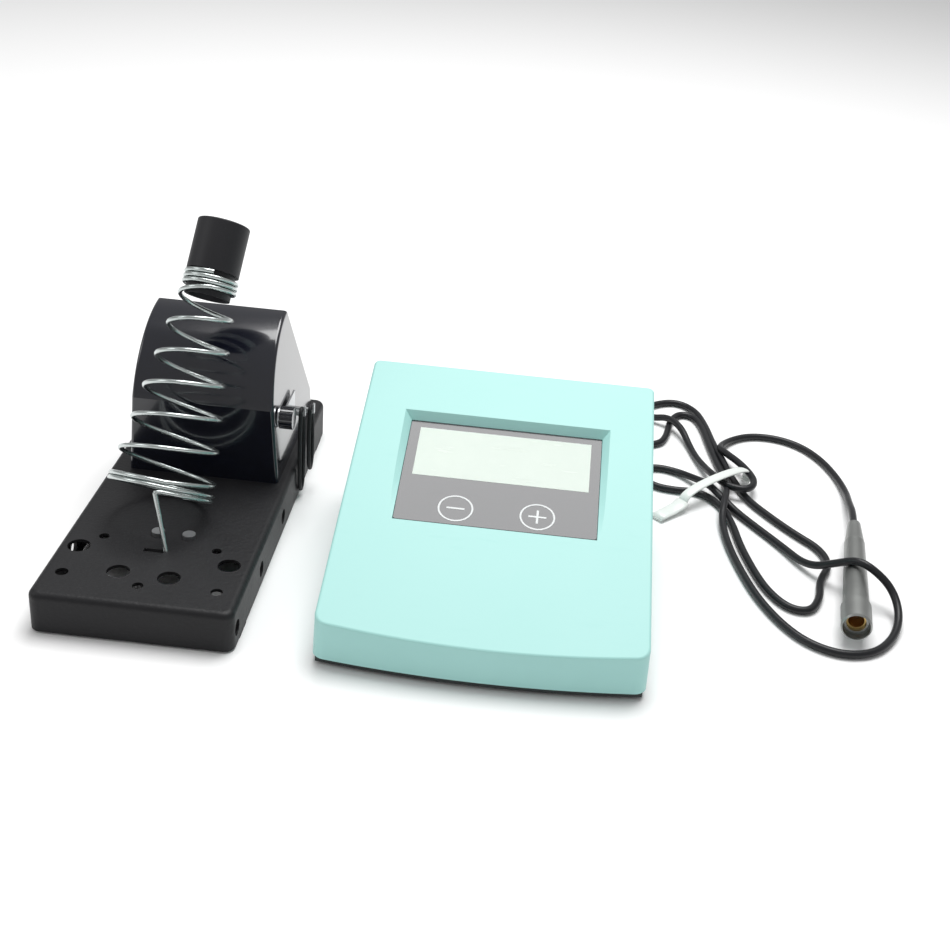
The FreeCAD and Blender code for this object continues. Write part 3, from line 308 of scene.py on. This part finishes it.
def baked(obj: bpy.types.Object, name: str) -> bpy.types.Object:
    """Turns an object with a live node tree into a plain mesh piece.

    Args:
        obj: The object, which is removed.
        name: The new piece's name.

    Returns:
        The plain piece.
    """
    bpy.context.view_layer.update()
    evaluated = obj.evaluated_get(bpy.context.evaluated_depsgraph_get())
    data = bpy.data.meshes.new_from_object(evaluated)
    data.name = name
    bpy.data.objects.remove(obj)
    result = bpy.data.objects.new(name, data)
    bpy.context.scene.collection.objects.link(result)
    return result


def round_curve(name: str, route: list[Vector], radius: float, steps: int) -> bpy.types.Object:
    """Draws a round bar on one smooth line.

    Args:
        name: The bar's name.
        route: The line's control points in the row's frame.
        radius: The bar's radius.
        steps: How many steps the line takes between two points.

    Returns:
        The bar, as a curve.
    """
    curve = bpy.data.curves.new(name, "CURVE")
    curve.dimensions = "3D"
    curve.bevel_depth = radius
    curve.bevel_resolution = 4
    curve.resolution_u = steps
    curve.use_fill_caps = True
    spline = curve.splines.new("NURBS")
    spline.points.add(len(route) - 1)
    for knot, point in zip(spline.points, route):
        knot.co = (*point, 1)
    spline.order_u = 3
    spline.use_endpoint_u = True
    bar = bpy.data.objects.new(name, curve)
    bpy.context.scene.collection.objects.link(bar)
    return bar


class Tree:
    """A Geometry Nodes tree with named inputs."""

    def __init__(self, name: str, inputs: dict[str, float]) -> None:
        """Starts a tree.

        Args:
            name: Its name.
            inputs: Each named input and its default.
        """
        self.group = bpy.data.node_groups.new(name, "GeometryNodeTree")
        self.group.interface.new_socket("Geometry", in_out="INPUT", socket_type="NodeSocketGeometry")
        self.group.interface.new_socket("Geometry", in_out="OUTPUT", socket_type="NodeSocketGeometry")
        for key, value in inputs.items():
            socket = self.group.interface.new_socket(key, in_out="INPUT", socket_type="NodeSocketFloat")
            socket.default_value = value
        self.entry = self.group.nodes.new("NodeGroupInput")
        self.leave = self.group.nodes.new("NodeGroupOutput")

    def add(self, kind: str, **links: object) -> bpy.types.Node:
        """Adds a node and links or sets its inputs.

        Args:
            kind: The node's type.
            links: A value or a socket for each input, underscores standing for spaces.

        Returns:
            The node.
        """
        made = self.group.nodes.new(kind)
        for key, value in links.items():
            socket = made.inputs[key.replace("_", " ")]
            if isinstance(value, bpy.types.NodeSocket):
                self.group.links.new(value, socket)
            else:
                socket.default_value = value
        return made

    def maths(self, operation: str, *values: object) -> bpy.types.NodeSocket:
        """Adds one step of arithmetic.

        Args:
            operation: What it does.
            values: Its numbers or sockets, in order.

        Returns:
            Its result.
        """
        made = self.group.nodes.new("ShaderNodeMath")
        made.operation = operation
        for socket, value in zip(made.inputs, values):
            if isinstance(value, bpy.types.NodeSocket):
                self.group.links.new(value, socket)
            else:
                socket.default_value = value
        return made.outputs[0]

    def finish(self, geometry: bpy.types.NodeSocket, material: bpy.types.Material) -> None:
        """Ends the tree in real geometry with its material.

        Args:
            geometry: What the tree made.
            material: The material of all of it.
        """
        real = self.add("GeometryNodeRealizeInstances", Geometry=geometry)
        dressed = self.add("GeometryNodeSetMaterial", Geometry=real.outputs[0], Material=material)
        self.group.links.new(dressed.outputs[0], self.leave.inputs[0])

    def run(self, obj: bpy.types.Object, name: str, **values: float) -> bpy.types.Object:
        """Runs the tree on an object.

        Args:
            obj: The object, which is removed.
            name: The new piece's name.
            values: Named inputs that differ from their defaults.

        Returns:
            The plain piece.
        """
        modifier = obj.modifiers.new(self.group.name, "NODES")
        modifier.node_group = self.group
        for item in self.group.interface.items_tree:
            key = item.name.replace(" ", "_")
            if item.in_out == "INPUT" and key in values:
                modifier[item.identifier] = values[key]
        return baked(obj, name)


@dataclass
class Lead:
    """The free lead, from the station's gland through its tied hank to the handle's tail."""

    corner: Vector
    radius: float = 0.0019
    length: float = 1.388

    REAR = ((120, 154, 16), (120, 176, 16), (120.5, 191, 11), (122, 205, 4.5), (125, 219, 1.9),
            (137, 230, 1.9), (153, 233, 1.9))
    FIRST_TURN = ((158, 246, 1.9), (160, 264, 1.9), (166, 276, 1.9), (175, 274, 1.9), (179, 260, 1.9),
                  (181, 241, 1.9), (184, 220, 1.9), (187, 204, 1.9), (187, 190, 2.2), (186, 178, 6.4),
                  (184, 166, 6.6), (182, 152, 3), (184, 130, 1.9), (189, 105, 1.9), (195, 84, 1.9), (204, 65, 1.9))
    FRONT = ((214, 53, 1.9), (228, 47, 1.9), (243, 51, 1.9), (254, 65, 1.9), (259, 81, 4.5), (256, 93, 11),
             (246, 97, 18.2), (239, 102, 18.6), (232, 108, 12), (221, 116, 3.5))
    RETURN = ((210, 137, 1.9), (199, 153, 1.9), (190, 167, 1.9), (183, 176, 4.6), (177, 185, 6.2),
              (170, 195, 3.5), (162, 203, 1.9), (151, 206, 1.9), (143, 202, 1.9), (142, 192, 1.9),
              (149, 184, 1.9), (160, 182, 1.9), (170, 183, 1.9), (178, 178, 1.9), (184, 168, 1.9),
              (188, 152, 1.9), (190, 132, 1.9), (195, 108, 1.9), (200, 92, 1.9), (208, 80, 1.9),
              (218, 79, 1.9), (224, 91, 1.9), (226, 107, 1.9), (233, 122, 1.9), (230, 137, 1.9))
    SECOND_TURN = ((219, 149, 1.9), (208, 164, 1.9), (197, 181, 1.9), (191, 204, 1.9), (188, 222, 1.9),
                   (184, 240, 1.9), (181, 263, 1.9), (176, 283, 1.9), (165, 292, 1.9), (152, 286, 1.9),
                   (144, 275, 1.9), (149, 265, 2.5), (159, 262, 5.8), (166, 250, 5.6), (170, 236, 2),
                   (173, 222, 2), (177, 208, 3.5), (180, 196, 6.2), (187, 184, 6.4), (198, 182, 6.4),
                   (203, 193, 6.4), (197, 211, 6.2), (189, 224, 5.8))
    TAIL = ((186, 233, 4.4), (193, 247, 1.9), (205, 256, 1.9), (220, 257, 1.9), (234, 250, 1.9),
            (244, 235, 1.9), (250, 216, 1.9), (252, 197, 3.0), (250.4, 181, 6.0),
            (249.5, 163.4, 9.0), (246.7, 143.6, 9.4))

    def route(self) -> list[Vector]:
        """The lead's control points in the row's frame, in metres."""
        points = self.REAR + self.FIRST_TURN + self.FRONT + self.RETURN + self.SECOND_TURN + self.TAIL
        return [self.corner + Vector(point) / 1000 for point in points]

    def build(self, palette: Palette) -> bpy.types.Object:
        """Lays the lead.

        Args:
            palette: The station's materials.

        Returns:
            The lead's curve.
        """
        lead = round_curve("lead", self.route(), self.radius, 8)
        palette.dress(lead, "lead_black")
        return lead

    def tie(self, palette: Palette) -> bpy.types.Object:
        """Wraps the soft tie round the hank's waist.

        Args:
            palette: The station's materials.

        Returns:
            The tie, a rounded band with its paddle on the bench.
        """
        middle = self.corner + Vector((0.184, 0.188, 0))
        turn = Matrix.Rotation(math.radians(46), 3, "Z")
        mesh = bmesh.new()
        steps, half = 40, 0.0030
        rings = []
        for step in range(steps + 1):
            share = step / steps
            if share < 0.68:
                swing = math.pi * (1 - share / 0.68)
                across = -0.004 + 0.0265 * math.cos(swing)
                height = 0.0018 + 0.0088 * math.sin(swing) ** 0.5
            else:
                swing = (share - 0.68) / 0.32
                across = 0.0225 - 0.0015 * swing
                height = 0.0018 - 0.0008 * swing
            rings.append((across, height))
        self.band(mesh, rings, half, 0.0009, turn, middle)
        paddle = [(-0.0505, 0.0016), (-0.046, 0.0018), (-0.040, 0.0020), (-0.034, 0.0028), (-0.0305, 0.0045)]
        self.band(mesh, paddle, 0.0042, 0.0012, turn, middle)
        tie = mesh_object("tie", mesh)
        palette.dress(tie, "tie_clear")
        return tie

    def band(self, mesh: bmesh.types.BMesh, line: list[tuple[float, float]], half: float, thick: float,
             turn: Matrix, middle: Vector) -> None:
        """Adds a flat band with round edges.

        Args:
            mesh: The geometry that it joins.
            line: Where it runs, as places across the hank and heights.
            half: Half its width.
            thick: Half its thickness.
            turn: The strap's turn on the bench.
            middle: The strap's middle on the bench.
        """
        rings = []
        for index, (across, height) in enumerate(line):
            ahead = Vector(line[min(index + 1, len(line) - 1)])
            behind = Vector(line[max(index - 1, 0)])
            run = (ahead - behind).normalized()
            outward = Vector((-run.y, run.x))
            ring = []
            for corner in range(BAND_CORNERS):
                angle = math.tau * corner / BAND_CORNERS
                side, out = half * math.cos(angle), thick * math.sin(angle)
                spot = Vector((across + outward.x * out, side, max(0.0003, height + outward.y * out)))
                ring.append(mesh.verts.new(middle + turn @ spot))
            rings.append(ring)
        for first, second in zip(rings, rings[1:]):
            for corner in range(BAND_CORNERS):
                after = (corner + 1) % BAND_CORNERS
                mesh.faces.new((first[corner], first[after], second[after], second[corner]))
        mesh.faces.new(rings[0])
        mesh.faces.new(rings[-1])

    def declare(self, lead: bpy.types.Object, tie: bpy.types.Object) -> None:
        """Attaches the lead and its tie to the set and hides the frame's lead and tie nodes that they stand in
        for.

        Args:
            lead: The lead's curve.
            tie: The tie.
        """
        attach(lead, "set")
        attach(tie, "set")
        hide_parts("lead_rear", "lead_end", "lead_bight", "lead_hank")
        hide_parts("lead_tie")


@dataclass
class Display:
    """The tinted panel with its window and two touch rings."""

    tilt: float = math.radians(15.99)
    thick: float = 0.002
    width: float = 0.0896
    height: float = 0.064
    window: tuple[float, float, float, float] = (0.0047, 0.0284, 0.0849, 0.0598)
    ring: float = 0.0079
    line: float = 0.0008
    keys: tuple[tuple[float, float], ...] = ((0.0266, 0.0098), (0.0630, 0.0098))

    def place(self, x: float, y: float, z: float) -> Vector:
        """Finds a point by the panel's face.

        Args:
            x: Distance across.
            y: Distance up the slope.
            z: Distance out of the face.

        Returns:
            The point in the row's frame.
        """
        low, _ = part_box("display_glass")
        start = Vector((low.x, low.y, low.z + self.thick * math.cos(self.tilt)))
        up = Vector((0, math.cos(self.tilt), math.sin(self.tilt)))
        out = Vector((0, -math.sin(self.tilt), math.cos(self.tilt)))
        return start + Vector((x, 0, 0)) + up * y + out * z

    def slab(self, name: str, outline: list[tuple[float, float]], low: float,
             high: float) -> bpy.types.Object:
        """Makes a flat piece.

        Args:
            name: The piece's name.
            outline: Its corners on the panel's face.
            low: Its underside above the face.
            high: Its top above the face.

        Returns:
            The piece.
        """
        mesh = bmesh.new()
        foot = [mesh.verts.new(self.place(x, y, low)) for x, y in outline]
        top = [mesh.verts.new(self.place(x, y, high)) for x, y in outline]
        mesh.faces.new(top)
        mesh.faces.new(foot[::-1])
        for index in range(len(outline)):
            after = (index + 1) % len(outline)
            mesh.faces.new((foot[index], foot[after], top[after], top[index]))
        return mesh_object(name, mesh, smooth=False)

    def touch_ring(self, name: str, centre: tuple[float, float], cross: bool) -> bpy.types.Object:
        """Prints one touch ring with its bar or cross.

        Args:
            name: The piece's name.
            centre: The ring's middle on the panel.
            cross: Whether a second bar crosses the first.

        Returns:
            The print.
        """
        mesh = bmesh.new()
        rims = []
        angles = [math.tau * step / RING_STEPS for step in range(RING_STEPS)]
        for radius in (self.ring - self.line, self.ring):
            circle = [(centre[0] + radius * math.cos(a), centre[1] + radius * math.sin(a)) for a in angles]
            for lift in (0.00004, 0.00008):
                rims.append([mesh.verts.new(self.place(x, y, lift)) for x, y in circle])
        inner_low, inner_high, outer_low, outer_high = rims
        for step in range(RING_STEPS):
            after = (step + 1) % RING_STEPS
            for first, second in ((inner_high, outer_high), (outer_high, outer_low), (outer_low, inner_low),
                                  (inner_low, inner_high)):
                mesh.faces.new((first[step], second[step], second[after], first[after]))
        bars = [(0.0040, 0.0005)] + ([(0.0005, 0.0040)] if cross else [])
        for half_x, half_y in bars:
            corners = [(-half_x, -half_y), (half_x, -half_y), (half_x, half_y), (-half_x, half_y)]
            lift = 0.00008 if half_x > half_y else 0.00009
            places = [self.place(centre[0] + x, centre[1] + y, lift) for x, y in corners]
            mesh.faces.new([mesh.verts.new(place) for place in places])
        return mesh_object(name, mesh, smooth=False)

    def rounded(self, radius: float) -> list[tuple[float, float]]:
        """Rounds the panel's outline.

        Args:
            radius: The corners' radius.

        Returns:
            The outline's points on the face.
        """
        corners = ((radius, radius, 180), (self.width - radius, radius, 270),
                   (self.width - radius, self.height - radius, 0), (radius, self.height - radius, 90))
        return [(x + radius * math.cos(math.radians(start + 15 * step)),
                 y + radius * math.sin(math.radians(start + 15 * step)))
                for x, y, start in corners for step in range(7)]

    def build(self, palette: Palette) -> list[bpy.types.Object]:
        """Builds the panel.

        Args:
            palette: The station's materials.

        Returns:
            The panel, its window and its two prints.
        """
        left, low, right, high = self.window
        panel = self.slab("display_panel", self.rounded(0.0012), -self.thick, 0.0)
        opening = [(left, low), (right, low), (right, high), (left, high)]
        window = self.slab("display_window", opening, 0.00002, 0.00006)
        minus = self.touch_ring("touch_ring_minus", self.keys[0], cross=False)
        plus = self.touch_ring("touch_ring_plus", self.keys[1], cross=True)
        for piece, slot in ((panel, "display_glass"), (window, "lcd"), (minus, "component_white"),
                            (plus, "component_white")):
            palette.dress(piece, slot)
            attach(piece, "set")
        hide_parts("display_glass")
        return [panel, window, minus, plus]


@dataclass
class Wool:
    """Curled brass turnings in the tray."""

    body: str = "wool_drawer"
    density: float = 6.0e7
    curl: float = 0.0035
    wire: float = 0.00016

    def tree(self, palette: Palette) -> Tree:
        """Builds the tree that scatters small curls through the block of wool.

        Args:
            palette: The station's materials.

        Returns:
            The tree.
        """
        inputs = {"Density": self.density, "Curl radius": self.curl, "Wire radius": self.wire}
        tree = Tree("Brass turnings", inputs)
        entry = tree.entry.outputs
        spiral = tree.add("GeometryNodeCurveSpiral", Resolution=10, Rotations=1.3,
                          Start_Radius=entry["Curl radius"],
                          End_Radius=tree.maths("MULTIPLY", entry["Curl radius"], 0.6),
                          Height=tree.maths("MULTIPLY", entry["Curl radius"], 0.7))
        profile = tree.add("GeometryNodeCurvePrimitiveCircle", Resolution=3, Radius=entry["Wire radius"])
        ribbon = tree.add("GeometryNodeCurveToMesh", Curve=spiral.outputs[0],
                          Profile_Curve=profile.outputs[0])
        volume = tree.add("GeometryNodeMeshToVolume", Mesh=entry["Geometry"])
        points = tree.add("GeometryNodeDistributePointsInVolume", Volume=volume.outputs[0],
                          Density=entry["Density"], Seed=4)
        turn = tree.group.nodes.new("FunctionNodeRandomValue")
        turn.data_type = "FLOAT_VECTOR"
        turn.inputs["Max"].default_value = (math.tau, math.tau, math.tau)
        turn.inputs["Seed"].default_value = 7
        scattered = tree.add("GeometryNodeInstanceOnPoints", Points=points.outputs[0],
                             Instance=ribbon.outputs[0], Rotation=turn.outputs["Value"])
        tree.finish(scattered.outputs[0], palette.materials["brass"])
        return tree

    def build(self, palette: Palette) -> bpy.types.Object:
        """Builds the wool from a block a little smaller than its solid.

        Args:
            palette: The station's materials.

        Returns:
            The wool.
        """
        low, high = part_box("brass_wool")
        edge = self.curl * 1.15
        mesh = bmesh.new()
        bmesh.ops.create_cube(mesh, size=1)
        for vertex in mesh.verts:
            share = vertex.co + Vector((0.5, 0.5, 0.5))
            for axis in range(3):
                vertex.co[axis] = low[axis] + edge + share[axis] * (high[axis] - low[axis] - 2 * edge)
        block = mesh_object("wool_block", mesh, smooth=False)
        wool = self.tree(palette).run(block, "brass_turnings")
        core = self.core(palette, low, high)
        for piece in (wool, core):
            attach(piece, self.body)
        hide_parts("brass_wool")
        return wool

    def core(self, palette: Palette, low: Vector, high: Vector) -> bpy.types.Object:
        """Builds the dense middle of the wool, crowned and uneven.

        Args:
            palette: The station's materials.
            low: The solid's lowest corner.
            high: The solid's highest corner.

        Returns:
            The middle.
        """
        mesh = bmesh.new()
        bmesh.ops.create_uvsphere(mesh, u_segments=40, v_segments=24, radius=0.5)
        centre, span = (low + high) / 2, high - low
        for vertex in mesh.verts:
            direction = Vector([math.copysign(abs(value * 2) ** 0.45, value) for value in vertex.co])
            wave = 1 + 0.03 * math.sin(47 * vertex.co.x + 31 * vertex.co.y) * math.cos(39 * vertex.co.z)
            vertex.co = centre + Vector([direction[axis] * span[axis] * 0.44 * wave for axis in range(3)])
        core = mesh_object("wool_core", mesh)
        palette.dress(core, "brass")
        return core


@dataclass
class SpringWire:
    """The conical wire spring that holds the iron."""

    low_turns: float = 2.0
    open_turns: float = 6.0
    high_turns: float = 3.0
    pitch: float = 0.0023
    length: float = 0.096
    low_radius: float = 0.0232
    high_radius: float = 0.0117
    wire: float = 0.00105
    start: float = math.radians(27 - 90)
    centre: tuple[float, float, float] = (0.0376, 0.0714, 0.0352)
    lean_back: float = math.radians(32.5)
    lean_right: float = math.radians(6.5)

    def frame(self, corner: Vector) -> Matrix:
        """Finds the spring's own frame, Z along its axis.

        Args:
            corner: The stand's own corner in the row's frame.

        Returns:
            The frame.
        """
        along = Vector((math.sin(self.lean_right), math.sin(self.lean_back) * math.cos(self.lean_right),
                        math.cos(self.lean_back) * math.cos(self.lean_right)))
        across = -Vector((0, 0, 1)).cross(along)
        across.normalize()
        if across.x < 0:
            across = -across
        inward = along.cross(across)
        place = corner + Vector(self.centre)
        rows = [(across[i], inward[i], along[i], place[i]) for i in range(3)]
        return Matrix((*rows, (0, 0, 0, 1)))

    def tree(self, palette: Palette) -> Tree:
        """Builds the tree that winds the wire from its turns, pitch and radii.

        Args:
            palette: The station's materials.

        Returns:
            The tree.
        """
        tree = Tree("Wound wire", {"Low turns": self.low_turns, "Open turns": self.open_turns,
                                   "High turns": self.high_turns, "Pitch": self.pitch, "Length": self.length,
                                   "Low radius": self.low_radius, "High radius": self.high_radius,
                                   "Wire radius": self.wire, "Start": self.start})
        entry, maths = tree.entry.outputs, tree.maths
        turns = maths("ADD", maths("ADD", entry["Low turns"], entry["Open turns"]), entry["High turns"])
        line = tree.group.nodes.new("GeometryNodeMeshLine")
        all_turns = self.low_turns + self.open_turns + self.high_turns
        line.inputs["Count"].default_value = int(all_turns * TURN_STEPS) + 1
        index = tree.add("GeometryNodeInputIndex").outputs[0]
        turn = maths("MULTIPLY", turns, maths("DIVIDE", index, line.inputs["Count"].default_value - 1.0))
        past = maths("SUBTRACT", turn, entry["Low turns"])
        within = maths("MINIMUM", maths("MAXIMUM", past, 0.0), entry["Open turns"])
        ease = maths("DIVIDE", within, entry["Open turns"])
        ends = maths("MULTIPLY", entry["Pitch"], maths("ADD", entry["Low turns"], entry["High turns"]))
        rise = maths("SUBTRACT", entry["Length"], maths("DIVIDE", ends, 2.0))
        low_part = maths("SUBTRACT", maths("MINIMUM", turn, entry["Low turns"]),
                         maths("DIVIDE", entry["Low turns"], 2.0))
        high_part = maths("MAXIMUM", maths("SUBTRACT", past, entry["Open turns"]), 0.0)
        height = maths("ADD", maths("MULTIPLY", entry["Pitch"], maths("ADD", low_part, high_part)),
                       maths("MULTIPLY", rise, ease))
        radius = maths("ADD", entry["Low radius"],
                       maths("MULTIPLY", maths("SUBTRACT", entry["High radius"], entry["Low radius"]), ease))
        angle = maths("ADD", entry["Start"], maths("MULTIPLY", turn, math.tau))
        spot = tree.add("ShaderNodeCombineXYZ", X=maths("MULTIPLY", radius, maths("COSINE", angle)),
                        Y=maths("MULTIPLY", radius, maths("SINE", angle)), Z=height)
        wound = tree.add("GeometryNodeSetPosition", Geometry=line.outputs[0], Position=spot.outputs[0])
        curve = tree.add("GeometryNodeMeshToCurve", Mesh=wound.outputs[0])
        profile = tree.add("GeometryNodeCurvePrimitiveCircle", Resolution=14, Radius=entry["Wire radius"])
        swept = tree.add("GeometryNodeCurveToMesh", Curve=curve.outputs[0], Profile_Curve=profile.outputs[0])
        swept.inputs["Fill Caps"].default_value = True
        tree.finish(swept.outputs[0], palette.materials["zinc_wire"])
        return tree

    def build(self, palette: Palette, corner: Vector) -> bpy.types.Object:
        """Winds the spring and adds its leg down to the base.

        Args:
            palette: The station's materials.
            corner: The stand's own corner in the row's frame.

        Returns:
            The spring.
        """
        seed = mesh_object("wire_seed", bmesh.new())
        frame = self.frame(corner)
        spring = self.tree(palette).run(seed, "spring_turns")
        spring.data.transform(frame)
        start = (math.cos(self.start), math.sin(self.start))
        first = frame @ Vector((self.low_radius * start[0], self.low_radius * start[1],
                                -self.pitch * self.low_turns / 2))
        ready = frame.to_3x3() @ Vector((-math.sin(self.start), math.cos(self.start), 0))
        foot = corner + LEG_FOOT
        knee = first - ready * 0.0032
        leg = self.leg([foot, foot.lerp(knee, 0.5), foot.lerp(knee, 0.9), knee, first + ready * 0.0012])
        leg.data.materials.append(palette.materials["zinc_wire"])
        for piece in (spring, leg):
            for face in piece.data.polygons:
                face.use_smooth = True
            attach(piece, "set")
        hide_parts("holder_spring")
        return spring

    def leg(self, line: list[Vector]) -> bpy.types.Object:
        """The straight leg with its bend into the first turn."""
        return baked(round_curve("leg", line, self.wire, 12), "spring_leg")


@dataclass
class Studio:
    """The pale floor, the soft lights and the camera."""

    eye: tuple[float, float, float] = (0.0171, -0.5589, 0.3495)
    heading: float = 2.57
    down: float = 28.8
    roll: float = 4.87
    lens: float = 51.81

    def camera(self) -> None:
        """Sets up the camera."""
        data = bpy.data.cameras.new("camera")
        data.lens = self.lens
        data.sensor_width = 36
        data.clip_start = 0.01
        camera = bpy.data.objects.new("camera", data)
        bpy.context.scene.collection.objects.link(camera)
        turn = (Matrix.Rotation(math.radians(self.heading), 4, "Z")
                @ Matrix.Rotation(math.radians(90 - self.down), 4, "X")
                @ Matrix.Rotation(math.radians(self.roll), 4, "Z"))
        camera.matrix_world = Matrix.Translation(self.eye) @ turn
        bpy.context.scene.camera = camera

    def light(self, name: str, place: tuple[float, float, float], size: float, power: float) -> None:
        """Adds a soft area light that faces the object.

        Args:
            name: The light's name.
            place: Where it stands.
            size: Its width.
            power: Its power in watts.
        """
        data = bpy.data.lights.new(name, "AREA")
        data.size = size
        data.energy = power
        lamp = bpy.data.objects.new(name, data)
        lamp.location = place
        lamp.rotation_euler = (-Vector(place)).to_track_quat("-Z", "Y").to_euler()
        bpy.context.scene.collection.objects.link(lamp)

    def build(self) -> None:
        """Lays the floor and lights the scene."""
        mesh = bmesh.new()
        bmesh.ops.create_grid(mesh, x_segments=1, y_segments=1, size=6)
        for vertex in mesh.verts:
            vertex.co.z = -0.0002
        floor = mesh_object("floor", mesh, smooth=False)
        material = bpy.data.materials.new("pale_floor")
        material.use_nodes = True
        shader = material.node_tree.nodes["Principled BSDF"]
        shader.inputs["Base Color"].default_value = (0.93, 0.93, 0.93, 1)
        shader.inputs["Roughness"].default_value = 0.9
        floor.data.materials.append(material)
        world = bpy.data.worlds.new("studio")
        world.use_nodes = True
        world.node_tree.nodes["Background"].inputs["Color"].default_value = (1, 1, 1, 1)
        world.node_tree.nodes["Background"].inputs["Strength"].default_value = 0.42
        bpy.context.scene.world = world
        bpy.context.scene.view_settings.view_transform = "Standard"
        self.light("overhead", (0.1, 0.45, 1.5), 1.0, 24)
        self.light("left_fill", (-1.2, -0.3, 0.9), 0.6, 2.5)


def main() -> None:
    """Builds every piece in order and reports each one."""
    logging.basicConfig(level=logging.INFO, format="%(name)s: %(message)s")
    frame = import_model()
    Studio().camera()
    palette = Palette()
    palette.dress_frame(frame["nodes"])
    lead = Lead(STATION_CORNER)
    line, tie = lead.build(palette), lead.tie(palette)
    lead.declare(line, tie)
    LOG.info("lead laid and tied")
    for piece in Display().build(palette):
        LOG.info("%s built", piece.name)
    LOG.info("%s wound", SpringWire().build(palette, STAND_CORNER).name)
    LOG.info("%s packed", Wool().build(palette).name)
    Studio().build()


if __name__ == "__main__":
    main()
